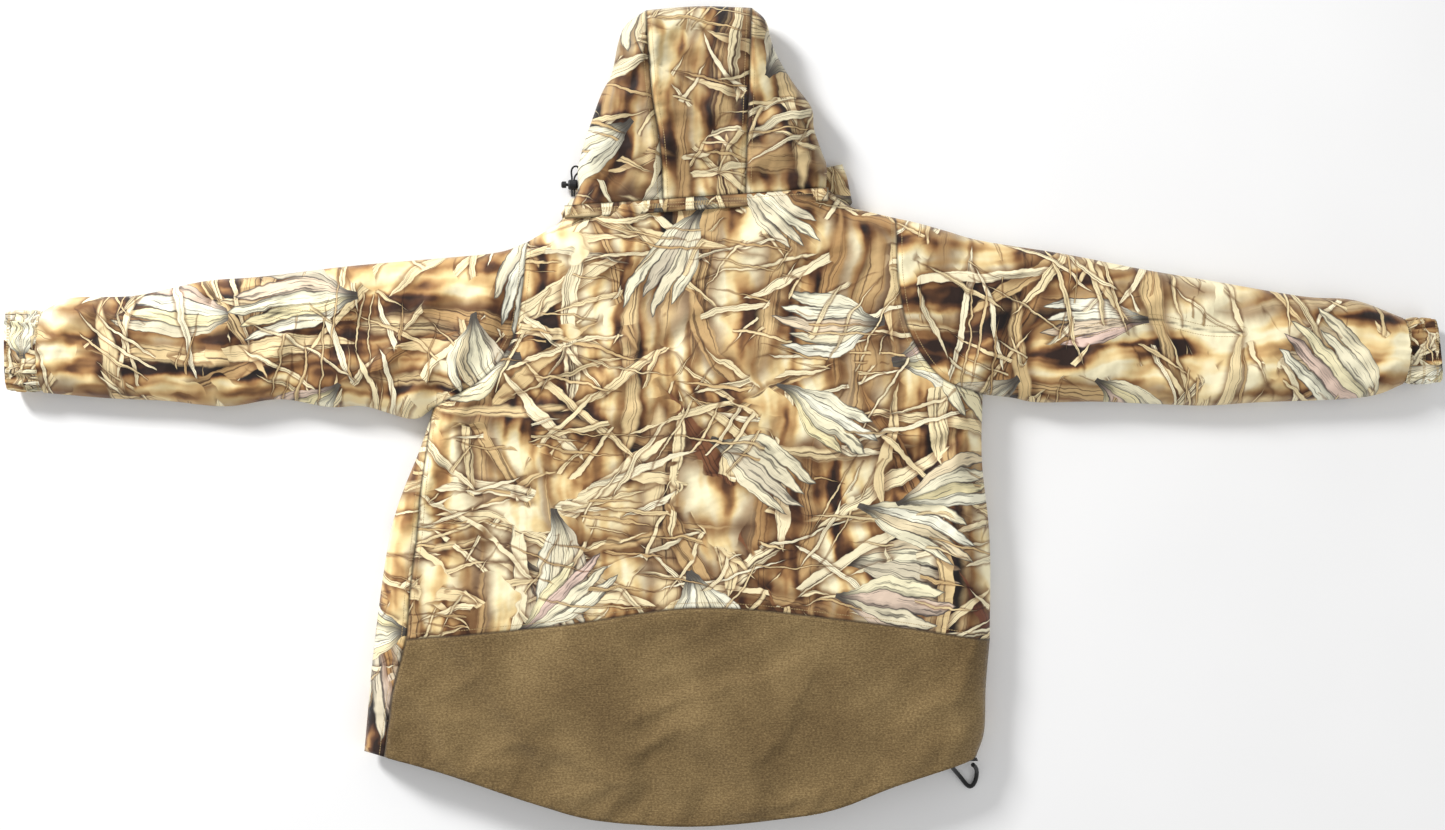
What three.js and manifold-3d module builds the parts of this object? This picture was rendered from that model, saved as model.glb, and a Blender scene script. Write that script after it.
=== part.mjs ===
// A hooded, insulated field jacket lying on its front with its back up, in millimetres.
// +X is the wearer's right, +Y runs from hem to hood, +Z is up off the surface it lies on.
// The origin is the middle of the jacket's footprint, on that surface.

import * as THREE from "three";
import { mergeVertices } from "three/addons/utils/BufferGeometryUtils.js";
import Module from "manifold-3d";

const wasm = await Module();
wasm.setup();

// ---- driving dimensions ----
const GAP = 0.3; // clearance between touching pieces
const CENTRE_X = -20; // the front zip's line
const FRONT = [0, 16]; // heights of the padded front shell
const FRONT_LINER = [16.3, 22];
const BACK_LINER = [36, 45.7];
const BACK = [46, 50];
const BAND = [46, 52]; // neck band that carries the hood
const COLLAR_TOP = 14;
const SLEEVE_TOP = 46;
const SLEEVE_SHELL = 5; // thickness of a sleeve's outer shell
const SLEEVE_LINED = 14; // thickness of shell and liner together
const CUFF_TOP = 40;
const CUFF_WALL = 4;
const STORM_WALL = 5;
const HOOD_TOP = 58;
const HOOD_SKIN = 4;
const HOOD_FLOOR = 8;
const HOOD_LINER = [44, 53.7];
const HOOD_LIFT = 20; // the hood's lower part clears the folded collar by this height
const HOOD_LIFT_END = 328;
const ELBOW_LEFT_X = -560;
const ELBOW_RIGHT_X = 545;
const CUFF_LEFT_X = [-901, -857];
const CUFF_RIGHT_X = [859, 901];
const ZIP_Y = [-410, 320];
const ZIP_HALF = 18; // half the width between the front panels' edges
const SLIDER_Y = [298, 314];
const POCKET_SIZE = [168, 176];
const POCKET_TOP_Y = -152;
const POCKET_DROP = 6; // clearance of the recess round each pocket
const FLAP_Y = [-215, -133];
const HEM_CORD_D = 5.5;
const HOOD_CORD_D = 2.4;

// ---- outlines, each seam drawn once and shared by the pieces on both sides of it ----
const curve = (points, steps) =>
  new THREE.SplineCurve(points.map(([x, y]) => new THREE.Vector2(x, y)))
    .getPoints(steps)
    .map((p) => [p.x, p.y]);
const shift = (points, dx, dy = 0) => points.map(([x, y]) => [x + dx, y + dy]);
const back = (points) => [...points].reverse();

const ARMHOLE_LEFT = curve([[-246, 219], [-250, 158], [-263, 95], [-299, 46], [-366, 8]], 12);
const ARMHOLE_RIGHT = curve([[218, 249], [219, 171], [234, 101], [273, 46], [329, 26]], 12);
const SIDE_LEFT = curve([[-366, 8], [-398, -84], [-424, -160], [-441, -296], [-453, -425]], 8);
const SIDE_RIGHT = curve([[329, 26], [328, -56], [338, -160], [338, -300], [321, -431]], 8);
const SIDE_SEAM = [[-371, -40], [-396, -281], [-424, -428]];
const HEM = curve([[-424, -428], [-281, -471], [-152, -506], [-28, -514], [87, -503], [208, -469], [321, -431]], 18);
const TAIL_TOP = curve([[-396, -281], [-210, -264], [-28, -241], [160, -257], [338, -283]], 12);
const SHOULDER_LEFT = [[-209, 241], [-246, 219]];
const SHOULDER_RIGHT = [[167, 261], [218, 249]];

// The hood folds back about this line, and each sleeve about its own.
const hoodLineY = (x) => 262 + ((x + 190) * 22) / 320;
const FOLD_LEFT = [[-267.3, 211.5], [-381, -6]];
const FOLD_RIGHT = [[235, 240.5], [341.5, 25.5]];

const HOOD_LEFT_EDGE = curve(
  [[-190, 263.5], [-181, 300], [-164, 371], [-139, 430], [-128, 480], [-96, 509]], 12);
const HOOD_RIGHT_EDGE = curve(
  [[130, 285.5], [130, 318], [114, 376], [72, 445], [58, 488], [37, 512]], 12);
const HOOD_SEAM_LEFT = [[-74, 271.4], [-78, 340], [-88, 404], [-95, 509]];
const HOOD_SEAM_RIGHT = [[29, 278.5], [32, 379], [36, 511.8]];

const SLEEVE = {
  left: {
    upperTop: [[-246, 219], [-346, 199], [-464, 189], [ELBOW_LEFT_X, 177]],
    upperBottom: [[-366, -8], [-381, -6], [-453, 11], [-524, 17], [ELBOW_LEFT_X, 17]],
    foreTop: [[ELBOW_LEFT_X, 177], [-656, 169], [-743, 151], [-823, 148], [-856, 133]],
    foreBottom: [[ELBOW_LEFT_X, 17], [-628, 12], [-740, 20], [-856, 26]],
    fold: FOLD_LEFT,
    out: -1,
  },
  right: {
    upperTop: [[218, 248], [235, 240.5], [329, 220], [430, 204], [ELBOW_RIGHT_X, 180]],
    upperBottom: [[329, 27], [341.5, 25.5], [399, 16], [470, 17], [ELBOW_RIGHT_X, 15]],
    foreTop: [[ELBOW_RIGHT_X, 180], [628, 168], [734, 150], [800, 145], [857, 124]],
    foreBottom: [[ELBOW_RIGHT_X, 15], [676, 16], [782, 20], [857, 38]],
    fold: FOLD_RIGHT,
    out: 1,
  },
};

// ---- materials ----
const PRINT = { color: 0xb9935c, roughness: 0.85, metalness: 0 };
const TAIL_CLOTH = { color: 0x87704b, roughness: 0.9, metalness: 0 };
const LINING = { color: 0x3a2c22, roughness: 0.8, metalness: 0 };
const TAPE = { color: 0x4a3a28, roughness: 0.8, metalness: 0 };
const BLACK_PLASTIC = { color: 0x141414, roughness: 0.45, metalness: 0 };
const BLACK_CORD = { color: 0x101010, roughness: 0.7, metalness: 0 };
const KNIT = { color: 0x161616, roughness: 0.95, metalness: 0 };
const BRASS = { color: 0x6f5f3e, roughness: 0.4, metalness: 0.9 };

const jacket = new THREE.Group();

function add(name, geometry, look) {
  const mesh = new THREE.Mesh(geometry, new THREE.MeshStandardMaterial(look));
  mesh.name = name;
  jacket.add(mesh);
  return mesh;
}

// ---- solids ----
function outlineShape(points) {
  return new THREE.Shape(points.map(([x, y]) => new THREE.Vector2(x, y)));
}

// A flat layer with the given outline, from one height to another.
function layer(points, [low, high]) {
  const made = new THREE.ExtrudeGeometry(outlineShape(points), {
    depth: high - low,
    bevelEnabled: false,
  });
  made.translate(0, 0, low);
  return made;
}

function box([x0, x1], [y0, y1], [z0, z1]) {
  const made = new THREE.BoxGeometry(x1 - x0, y1 - y0, z1 - z0);
  made.translate((x0 + x1) / 2, (y0 + y1) / 2, (z0 + z1) / 2);
  return made;
}

function asSolid(geometry) {
  const bare = geometry.clone();
  bare.deleteAttribute("normal");
  bare.deleteAttribute("uv");
  const merged = mergeVertices(bare, 1e-4);
  return new wasm.Manifold(
    new wasm.Mesh({
      numProp: 3,
      vertProperties: new Float32Array(merged.attributes.position.array),
      triVerts: new Uint32Array(merged.index.array),
    }),
  );
}

function asGeometry(solid) {
  const mesh = solid.getMesh();
  const made = new THREE.BufferGeometry();
  made.setAttribute("position", new THREE.BufferAttribute(mesh.vertProperties, 3));
  made.setIndex(new THREE.BufferAttribute(mesh.triVerts, 1));
  made.computeVertexNormals();
  return made;
}

function cut(geometry, ...tools) {
  let solid = asSolid(geometry);
  for (const tool of tools) {
    solid = solid.subtract(asSolid(tool));
  }
  return asGeometry(solid);
}

// A tube along a smooth line through the given points.
function cord(points, diameter, steps, sides) {
  const path = new THREE.CatmullRomCurve3(points.map((p) => new THREE.Vector3(...p)));
  const ring = [];
  for (let i = 0; i < sides; i += 1) {
    const turn = (2 * Math.PI * i) / sides;
    ring.push([(Math.cos(turn) * diameter) / 2, (Math.sin(turn) * diameter) / 2]);
  }
  return new THREE.ExtrudeGeometry(outlineShape(ring), { steps, extrudePath: path });
}

// A round barrel along X, drawn as (distance along, radius) pairs.
function barrel(profile, [x, y, z]) {
  const made = new THREE.LatheGeometry(
    profile.map(([along, radius]) => new THREE.Vector2(radius, along)), 16);
  made.rotateZ(-Math.PI / 2);
  made.translate(x, y, z);
  return made;
}

// ---- body: fronts, back, sides, liners ----
const ZIP_EDGE_LEFT = CENTRE_X - ZIP_HALF;
const ZIP_EDGE_RIGHT = CENTRE_X + ZIP_HALF;
const FRONT_TOP_Y = 258;
const FRONT_HEM_Y = -426;
const LINER_HEM_Y = -420;

function pocketPlace(side) {
  const middle = side === "left" ? CENTRE_X - 195 : CENTRE_X + 190;
  const half = POCKET_SIZE[0] / 2;
  return { middle, x: [middle - half, middle + half], y: [POCKET_TOP_Y - POCKET_SIZE[1], POCKET_TOP_Y] };
}

function recess(side) {
  const { x, y } = pocketPlace(side);
  const wide = [x[0] - POCKET_DROP, x[1] + POCKET_DROP];
  return box(wide, [y[0] - POCKET_DROP, POCKET_TOP_Y + 30], [-1, 13]);
}

const leftFront = [
  [ZIP_EDGE_LEFT, FRONT_TOP_Y], [-200, 246], ...SHOULDER_LEFT.slice(0, 1),
  ...ARMHOLE_LEFT, ...SIDE_LEFT.slice(1), [ZIP_EDGE_LEFT, FRONT_HEM_Y],
];
const rightFront = [
  [ZIP_EDGE_RIGHT, FRONT_TOP_Y], [150, FRONT_TOP_Y], ...SHOULDER_RIGHT.slice(0, 1),
  ...ARMHOLE_RIGHT, ...SIDE_RIGHT.slice(1), [ZIP_EDGE_RIGHT, FRONT_HEM_Y],
];
add("left_front_panel", cut(layer(leftFront, FRONT), recess("left")), PRINT);
add("right_front_panel", cut(layer(rightFront, FRONT), recess("right")), PRINT);

const LINER_INSET = 5;
const SIDE_PANEL_WIDTH = 16;
const leftInner = [
  [-205, 234], ...shift(ARMHOLE_LEFT.slice(1, -1), LINER_INSET, -2), [-358, -2], [-388, -281],
  [-416, LINER_HEM_Y],
];
const rightInner = [
  [166, 248], ...shift(ARMHOLE_RIGHT.slice(1, -1), -LINER_INSET, -2), [312, 16],
  ...shift(SIDE_RIGHT.slice(1, -1), -SIDE_PANEL_WIDTH - 1), [303, LINER_HEM_Y],
];
const linerEdge = 27; // half the width of the gap that the draft flap fills
add("left_front_liner",
  layer([[CENTRE_X - linerEdge, 236], ...leftInner, [CENTRE_X - linerEdge, LINER_HEM_Y]], FRONT_LINER),
  LINING);
add("right_front_liner",
  layer([[CENTRE_X + linerEdge, 250], ...rightInner, [CENTRE_X + linerEdge, LINER_HEM_Y]], FRONT_LINER),
  LINING);
add("back_liner", layer([...leftInner, ...back(rightInner)], BACK_LINER), LINING);

const sideHeights = [FRONT[1] + GAP, BACK[1]];
add("left_side_panel",
  layer([...SIDE_LEFT.slice(1), ...back(shift(SIDE_SEAM, -2 * GAP))], sideHeights), PRINT);
add("right_side_panel",
  layer([...SIDE_RIGHT, ...back(shift(SIDE_RIGHT, -SIDE_PANEL_WIDTH))],
    [FRONT[1] + GAP, BACK[0] - GAP]),
  PRINT);

const BAND_DEPTH = 17;
const BAND_X = [-197, 132];
const bandEdge = (drop) => BAND_X.map((x) => [x, hoodLineY(x) - drop]);
add("back_panel",
  layer([
    ...bandEdge(BAND_DEPTH + 2 * GAP), ...SHOULDER_RIGHT.slice(0, 1), ...ARMHOLE_RIGHT,
    ...SIDE_RIGHT.slice(1, -3), ...back(TAIL_TOP), ...back(ARMHOLE_LEFT), ...SHOULDER_LEFT.slice(0, 1),
  ], BACK),
  PRINT);
add("neck_band", layer([...bandEdge(1), ...back(bandEdge(BAND_DEPTH))], BAND), PRINT);

const tailTop = shift(TAIL_TOP, 0, -2 * GAP);
add("drop_tail", layer([...tailTop, ...SIDE_RIGHT.slice(-2), ...back(HEM).slice(1)], BACK), TAIL_CLOTH);

// ---- collar, folded under the hood ----
add("collar_left",
  layer([
    [ZIP_EDGE_LEFT, 262], [ZIP_EDGE_LEFT, 320], [-150, 320], [-172, 284], [-192, 274], [-211, 247],
    [-203, 249],
  ], [0, COLLAR_TOP]),
  PRINT);
add("collar_right",
  layer([
    [ZIP_EDGE_RIGHT, 262], [166, 263], [162, 282], [158, 301], [152, 318], [132, 314], [110, 320],
    [ZIP_EDGE_RIGHT, 320],
  ], [0, COLLAR_TOP]),
  PRINT);
add("hanger_loop", box([CENTRE_X - 32, CENTRE_X + 32], [222, 231], [33.4, 35.6]), TAPE);
add("size_label", box([CENTRE_X - 22, CENTRE_X + 22], [178, 212], [34.8, 35.7]), TAPE);

// ---- front zip ----
const COIL = 3;
function zipTape(side) {
  const near = 1;
  const far = ZIP_HALF - 2 * GAP;
  const section = [[near, 9.8], [near + COIL, 9.8], [near + COIL, 10.6], [far, 10.6], [far, 12],
    [near + COIL, 12], [near + COIL, 13.2], [near, 13.2]];
  const made = layer(section, [0, ZIP_Y[1] - ZIP_Y[0]]);
  made.rotateX(Math.PI / 2);
  made.translate(0, ZIP_Y[1], 0);
  if (side < 0) {
    made.rotateZ(Math.PI);
    made.translate(0, ZIP_Y[0] + ZIP_Y[1], 0);
  }
  made.translate(CENTRE_X, 0, 0);
  return made;
}
add("left_zip_tape", zipTape(-1), TAPE);
add("right_zip_tape", zipTape(1), TAPE);
add("zip_bottom_stop", box([CENTRE_X - 7, CENTRE_X + 7], [FRONT_HEM_Y, ZIP_Y[0] - GAP], [7.5, 15.5]), BRASS);
add("draft_flap", box([CENTRE_X - 26, CENTRE_X + 26], [LINER_HEM_Y, 250], [17, 21.7]), LINING);

const sliderSection = [[-6, 7.6], [6, 7.6], [6, 9.2], [0.6, 9.2], [0.6, 13.8], [6, 13.8], [6, 15.4],
  [-6, 15.4], [-6, 13.8], [-0.6, 13.8], [-0.6, 9.2], [-6, 9.2]];
const slider = layer(sliderSection, [0, SLIDER_Y[1] - SLIDER_Y[0]]);
slider.rotateX(Math.PI / 2);
slider.translate(CENTRE_X, SLIDER_Y[1], 0);
const bridge = box([CENTRE_X - 2.5, CENTRE_X + 2.5], [SLIDER_Y[0] + 1, SLIDER_Y[0] + 11], [4.4, 8]);
add("zip_slider", asGeometry(asSolid(slider).add(asSolid(bridge))), BRASS);
const pull = box([CENTRE_X - 3.5, CENTRE_X + 3.5], [262, SLIDER_Y[0] - 2.3], [3.2, 5.2]);
const pullHole = box([CENTRE_X - 1.5, CENTRE_X + 1.5], [266, 272], [2, 7]);
add("zip_pull", cut(pull, pullHole), BRASS);

// ---- cargo pockets on the fronts, with their flaps and snaps ----
const FLAP_HEIGHTS = [1.2, 3.2];
const POCKET_HEIGHTS = [5.2, 12.7];
for (const side of ["left", "right"]) {
  const { middle, x, y } = pocketPlace(side);
  const hollow = box([x[0] + 4, x[1] - 4], [y[0] + 4, y[1] + 10], [POCKET_HEIGHTS[0] + 2.2, 20]);
  add(`${side}_cargo_pocket`, cut(box(x, y, POCKET_HEIGHTS), hollow), PRINT);
  add(`${side}_pocket_flap`, box([x[0] - 2, x[1] + 2], FLAP_Y, FLAP_HEIGHTS), PRINT);
  const snap = (radius, low, high) => {
    const made = new THREE.CylinderGeometry(radius, radius, high - low, 20);
    made.rotateX(Math.PI / 2);
    made.translate(middle, FLAP_Y[0] + 16, (low + high) / 2);
    return made;
  };
  add(`${side}_flap_snap`, snap(7.5, 0, 0.9), BRASS);
  add(`${side}_pocket_stud`, snap(5, 3.6, 4.9), BRASS);
}

// ---- sleeves ----
// A flat tunnel between a top edge and a bottom edge, open at both ends.
function tunnel(top, bottom, inset, [low, high], wall, end) {
  const drop = (edge, by) => edge.map(([x, y]) => [x, y + by]);
  const outer = [...drop(top, -inset), ...back(drop(bottom, inset))];
  const reach = 80 * end;
  const longer = (edge, by) => {
    const inner = drop(edge, by);
    const [first, last] = [inner[0], inner[inner.length - 1]];
    return [[first[0] - reach, first[1]], ...inner, [last[0] + reach, last[1]]];
  };
  const hole = [...longer(top, -inset - wall), ...back(longer(bottom, inset + wall))];
  return cut(layer(outer, [low, high]), layer(hole, [low + wall, high - wall]));
}

// The end of an edge is pulled back by a small gap from the neighbour that it meets.
function trimmed(edge, atStart, atEnd) {
  const made = edge.map((p) => [...p]);
  made[0][0] += atStart;
  made[made.length - 1][0] += atEnd;
  return made;
}

// Everything on the body's side of a fold line, and a small gap past it.
function bodySide([[x0, y0], [x1, y1]], out) {
  const [dx, dy] = [x1 - x0, y1 - y0];
  const edge = [[x0 - dx + 2 * GAP * out, y0 - dy], [x1 + dx + 2 * GAP * out, y1 + dy]];
  return layer([...edge, ...back(shift(edge, -600 * out))], [-5, 100]);
}

for (const side of ["left", "right"]) {
  const { upperTop, upperBottom, foreTop, foreBottom, fold, out } = SLEEVE[side];
  const linerWall = SLEEVE_LINED - SLEEVE_SHELL - GAP;
  const linerHeights = [SLEEVE_SHELL + GAP, SLEEVE_TOP - SLEEVE_SHELL - GAP];
  const parts = {
    upper_sleeve: [trimmed(upperTop, 0, -GAP * out), trimmed(upperBottom, 0, -GAP * out)],
    forearm: [trimmed(foreTop, GAP * out, 0), trimmed(foreBottom, GAP * out, 0)],
  };
  for (const [name, [top, bottom]] of Object.entries(parts)) {
    const shell = tunnel(top, bottom, 0, [0, SLEEVE_TOP], SLEEVE_SHELL, out);
    const liner = tunnel(top, bottom, SLEEVE_SHELL + GAP, linerHeights, linerWall, out);
    add(`${side}_${name}`, cut(shell, bodySide(fold, out)), PRINT);
    add(`${side}_${name}_liner`, cut(liner, bodySide(fold, out)), LINING);
  }
}

function sleeveHead(armhole, fold) {
  const outline = [...armhole, ...back(fold)];
  const [low, high] = [SLEEVE_LINED, SLEEVE_TOP - SLEEVE_LINED];
  const bore = box([-700, 700], [40, 190], [low, high]);
  return cut(layer(outline, [0, SLEEVE_TOP - GAP]), bore);
}
add("left_sleeve_head", sleeveHead(shift(ARMHOLE_LEFT, -2 * GAP, 2 * GAP), FOLD_LEFT), PRINT);
add("right_sleeve_head", sleeveHead(shift(ARMHOLE_RIGHT, 2 * GAP, 2 * GAP), FOLD_RIGHT), PRINT);

// ---- cuffs ----
// A flattened ring round the sleeve's end, with rounded corners, open along X.
function ring([x0, x1], middleY, halfWidth, [low, high], wall) {
  const rounded = (half, bottom, top) => {
    const r = Math.min((top - bottom) / 2 - 1, 14);
    const made = [];
    const corners = [[half - r, bottom + r, -90], [half - r, top - r, 0], [-half + r, top - r, 90],
      [-half + r, bottom + r, 180]];
    for (const [cy, cz, start] of corners) {
      for (let i = 0; i <= 4; i += 1) {
        const turn = THREE.MathUtils.degToRad(start + 22.5 * i);
        made.push([cy + r * Math.cos(turn), cz + r * Math.sin(turn)]);
      }
    }
    return made;
  };
  const shape = outlineShape(rounded(halfWidth, low, high));
  shape.holes.push(new THREE.Path(
    rounded(halfWidth - wall, low + wall, high - wall).map(([y, z]) => new THREE.Vector2(y, z))));
  const made = new THREE.ExtrudeGeometry(shape, { depth: x1 - x0, bevelEnabled: false, curveSegments: 4 });
  made.rotateX(Math.PI / 2);
  made.rotateZ(Math.PI / 2);
  made.translate(x0, middleY, 0);
  return made;
}
const CUFF = {
  left: { x: CUFF_LEFT_X, middle: 80, half: 53, storm: [-899, -860] },
  right: { x: CUFF_RIGHT_X, middle: 81, half: 43, storm: [862, 899] },
};
for (const side of ["left", "right"]) {
  const { x, middle, half, storm } = CUFF[side];
  add(`${side}_cuff`, ring(x, middle, half, [0, CUFF_TOP], CUFF_WALL), PRINT);
  const inside = CUFF_WALL + 0.5;
  add(`${side}_storm_cuff`,
    ring(storm, middle, half - inside, [inside, CUFF_TOP - inside], STORM_WALL), KNIT);
}

// ---- hood ----
const hoodHollow = [
  [-168, 200], [-168, 310], [-152, 371], [-127, 424], [-117, 472], [-92, 498], [-30, 499], [30, 498],
  [47, 478], [61, 440], [102, 372], [117, 314], [117, 200],
];
const hollow = layer(hoodHollow, [HOOD_FLOOR, HOOD_TOP - HOOD_SKIN]);
const lift = box([-400, 400], [100, HOOD_LIFT_END], [-5, HOOD_LIFT]);
const leftHood = [...HOOD_LEFT_EDGE, ...back(shift(HOOD_SEAM_LEFT, -GAP))];
const rightHood = [...HOOD_RIGHT_EDGE, ...back(shift(HOOD_SEAM_RIGHT, GAP))];
add("hood_left_panel", cut(layer(leftHood, [0, HOOD_TOP]), hollow, lift), PRINT);
add("hood_right_panel", cut(layer(rightHood, [0, HOOD_TOP]), hollow, lift), PRINT);
const centreHood = [...shift(HOOD_SEAM_LEFT, GAP), [-30, 514], ...back(shift(HOOD_SEAM_RIGHT, -GAP))];
const underCentre = box([-200, 200], [200, 500], [0, HOOD_TOP - HOOD_SKIN]);
add("hood_centre_panel", cut(layer(centreHood, [12, HOOD_TOP]), underCentre), PRINT);
add("hood_brim",
  layer([[-90, 470], [-94, 508], [-30, 513], [35, 510], [34, 470]], [0, 12 - GAP]), PRINT);
const hoodPad = [
  [-160, 272], [-166, 309], [-150, 370], [-125, 423], [-115, 471], [-91, 496], [29, 496], [45, 476],
  [59, 439], [100, 371], [115, 313], [112, 287],
];
add("hood_liner", layer(hoodPad, HOOD_LINER), LINING);

// ---- cord locks: a barrel with a sprung button, crossed by a bore for the cord ----
const LOCK_PROFILE = [[0, 0], [0, 5], [1.5, 6.5], [10, 6.5], [12, 5.4], [12, 0]];
const BUTTON_PROFILE = [[0, 0], [0, 4.3], [4.6, 4.3], [6, 3], [6, 0]];
const BUTTON_GAP = 2.8; // the button's travel, open between button and barrel
const BUTTON_STEM = 2;
function cordLock(place, [x, y, z], toward, boreHeight, boreWidth) {
  const flip = (geometry) => {
    if (toward < 0) {
      geometry.translate(-x, -y, 0);
      geometry.rotateZ(Math.PI);
      geometry.translate(x, y, 0);
    }
    return geometry;
  };
  const bore = box([x + 6 - boreWidth / 2, x + 6 + boreWidth / 2], [y - 20, y + 20],
    [z - boreHeight / 2, z + boreHeight / 2]);
  const socket = barrel([[8.6, 0], [8.6, BUTTON_STEM + GAP], [14, BUTTON_STEM + GAP], [14, 0]], [x, y, z]);
  const body = cut(barrel(LOCK_PROFILE, [x, y, z]), bore, socket);
  add(`${place}_cord_lock`, flip(body), BLACK_PLASTIC);
  const cap = barrel(BUTTON_PROFILE, [x + 12 + BUTTON_GAP, y, z]);
  const stemLength = BUTTON_GAP + 0.5;
  const stem = barrel([[0, 0], [0, BUTTON_STEM], [stemLength, BUTTON_STEM], [stemLength, 0]],
    [x + 12 - 0.2, y, z]);
  const button = asGeometry(asSolid(cap).add(asSolid(stem)));
  add(`${place}_lock_button`, flip(button), BLACK_PLASTIC);
}
const HOOD_LOCK_LEFT = [-183.5, 292, 8.2];
const HOOD_LOCK_RIGHT = [100, 306, 29];
const HEM_LOCK = [292, -431.5, 29.5];
const hoodBore = [HOOD_CORD_D + 1.4, 2 * HOOD_CORD_D + 1.6];
cordLock("hood_left", HOOD_LOCK_LEFT, -1, ...hoodBore);
cordLock("hood_right", HOOD_LOCK_RIGHT, -1, ...hoodBore);
cordLock("hem", HEM_LOCK, -1, HEM_CORD_D + 1, HEM_CORD_D + 1);

// ---- cords ----
// Each hood cord comes out of the hood's edge, goes up through its lock, round in a loop that
// leans over, and back down beside itself.
function hoodCord(name, [x, y, z], rootX, rootY, rootZ) {
  const apart = HOOD_CORD_D / 2 + 0.25;
  const middle = x - 6;
  const loop = [[-2.2, 14], [-1.9, 19], [0.8, 23], [5.2, 23.4], [7.8, 19.8], [6.4, 15.2], [3.2, 12]];
  const line = [
    [rootX - apart, rootY, rootZ], [middle - apart, y - 9, z], [middle - apart, y, z],
    [middle - apart, y + 9, z], ...loop.map(([dx, dy]) => [middle + dx, y + dy, z]),
    [middle + apart, y + 8, z], [middle + apart, y, z], [middle + apart, y - 9, z],
    [rootX + apart, rootY, rootZ],
  ];
  add(name, cord(line, HOOD_CORD_D, 72, 8), BLACK_CORD);
}
hoodCord("hood_left_cord", HOOD_LOCK_LEFT, -189.5, 277, 8.2);
hoodCord("hood_right_cord", HOOD_LOCK_RIGHT, 94, 289, 29);

add("hem_cord_tab", box([303, 321], [-438, -432], [12, 30]), BLACK_CORD);
const hemLoop = [
  [286, -424, 29.5], [286, -438, 29], [291, -446, 18], [300, -457, 5.5], [308, -467, 3],
  [314.5, -473.5, 3], [320.5, -467, 3], [323, -455, 5], [320.5, -446, 13], [316, -441.5, 19],
];
add("hem_cord_loop", cord(hemLoop, HEM_CORD_D, 40, 10), BLACK_CORD);

export default jacket;
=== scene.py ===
import math
from collections import Counter

import bmesh
import bpy
import numpy as np
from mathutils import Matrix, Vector, kdtree
from mathutils.geometry import delaunay_2d_cdt


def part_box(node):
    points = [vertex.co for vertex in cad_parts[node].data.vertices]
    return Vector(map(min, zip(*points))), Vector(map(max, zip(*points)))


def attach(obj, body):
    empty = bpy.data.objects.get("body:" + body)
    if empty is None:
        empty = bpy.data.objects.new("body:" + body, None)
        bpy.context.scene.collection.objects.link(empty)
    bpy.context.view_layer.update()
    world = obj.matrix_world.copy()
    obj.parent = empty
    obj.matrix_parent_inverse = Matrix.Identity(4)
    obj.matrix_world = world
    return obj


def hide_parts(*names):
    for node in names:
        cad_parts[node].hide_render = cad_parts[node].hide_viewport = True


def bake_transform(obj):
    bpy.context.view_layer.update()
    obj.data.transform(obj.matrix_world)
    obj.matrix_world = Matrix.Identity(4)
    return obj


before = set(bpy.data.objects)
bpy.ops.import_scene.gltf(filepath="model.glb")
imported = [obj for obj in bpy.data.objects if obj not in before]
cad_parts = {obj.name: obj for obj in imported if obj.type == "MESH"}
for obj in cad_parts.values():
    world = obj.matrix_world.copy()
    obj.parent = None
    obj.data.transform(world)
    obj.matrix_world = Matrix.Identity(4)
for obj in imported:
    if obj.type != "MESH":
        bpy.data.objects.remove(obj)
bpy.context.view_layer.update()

MM = 0.001

# ---------------------------------------------------------------- camera
LENS = 50.0
SENSOR = 36.0
VIEW_WIDTH = 1.806  # metres across the picture at the height of the jacket's back
BACK_HEIGHT = 0.045

camera_data = bpy.data.cameras.new("camera")
camera_data.lens = LENS
camera_data.sensor_width = SENSOR
camera = bpy.data.objects.new("camera", camera_data)
camera.location = (0, 0, BACK_HEIGHT + VIEW_WIDTH * LENS / SENSOR)
bpy.context.scene.collection.objects.link(camera)
bpy.context.scene.camera = camera
bpy.context.scene.view_settings.view_transform = "Standard"


# ---------------------------------------------------------------- lines
def catmull_rom(points, per_span=16):
    """A smooth line through the given points, as an array with many points."""
    points = np.array(points, float)
    ends = [2 * points[0] - points[1], *points, 2 * points[-1] - points[-2]]
    made = []
    for a, b, c, d in zip(ends, ends[1:], ends[2:], ends[3:]):
        for step in range(per_span):
            t = step / per_span
            cubic = (3 * (b - c) + d - a) * t ** 3
            square = (2 * a - 5 * b + 4 * c - d) * t ** 2
            made.append(0.5 * (2 * b + (c - a) * t + square + cubic))
    made.append(points[-1])
    return np.array(made)


def relaxed(points, passes=8):
    """The same line with its sharpest bends eased; the ends stay."""
    points = np.array(points, float)
    for _ in range(passes):
        points[1:-1] = points[1:-1] / 2 + (points[:-2] + points[2:]) / 4
    return points


def evenly(points, step):
    """The same line with its points spaced evenly, about one step apart."""
    points = np.array(points, float)
    spans = np.linalg.norm(np.diff(points, axis=0), axis=1)
    travelled = np.concatenate([[0], np.cumsum(spans)])
    count = max(2, int(round(travelled[-1] / step)) + 1)
    stops = np.linspace(0, travelled[-1], count)
    return np.column_stack([np.interp(stops, travelled, axis) for axis in points.T])


# ---------------------------------------------------------------- cords
HEM_CORD_D = 5.5
HOOD_CORD_D = 2.4
HEM_CORD_ROUTE = [
    (286, -424, 29.5), (286, -438, 29), (291, -446, 18), (300, -457, 5.5), (308, -467, 3),
    (314.5, -473.5, 3), (320.5, -467, 3), (323, -455, 5), (320.5, -446, 13), (316, -441.5, 19),
]


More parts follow.
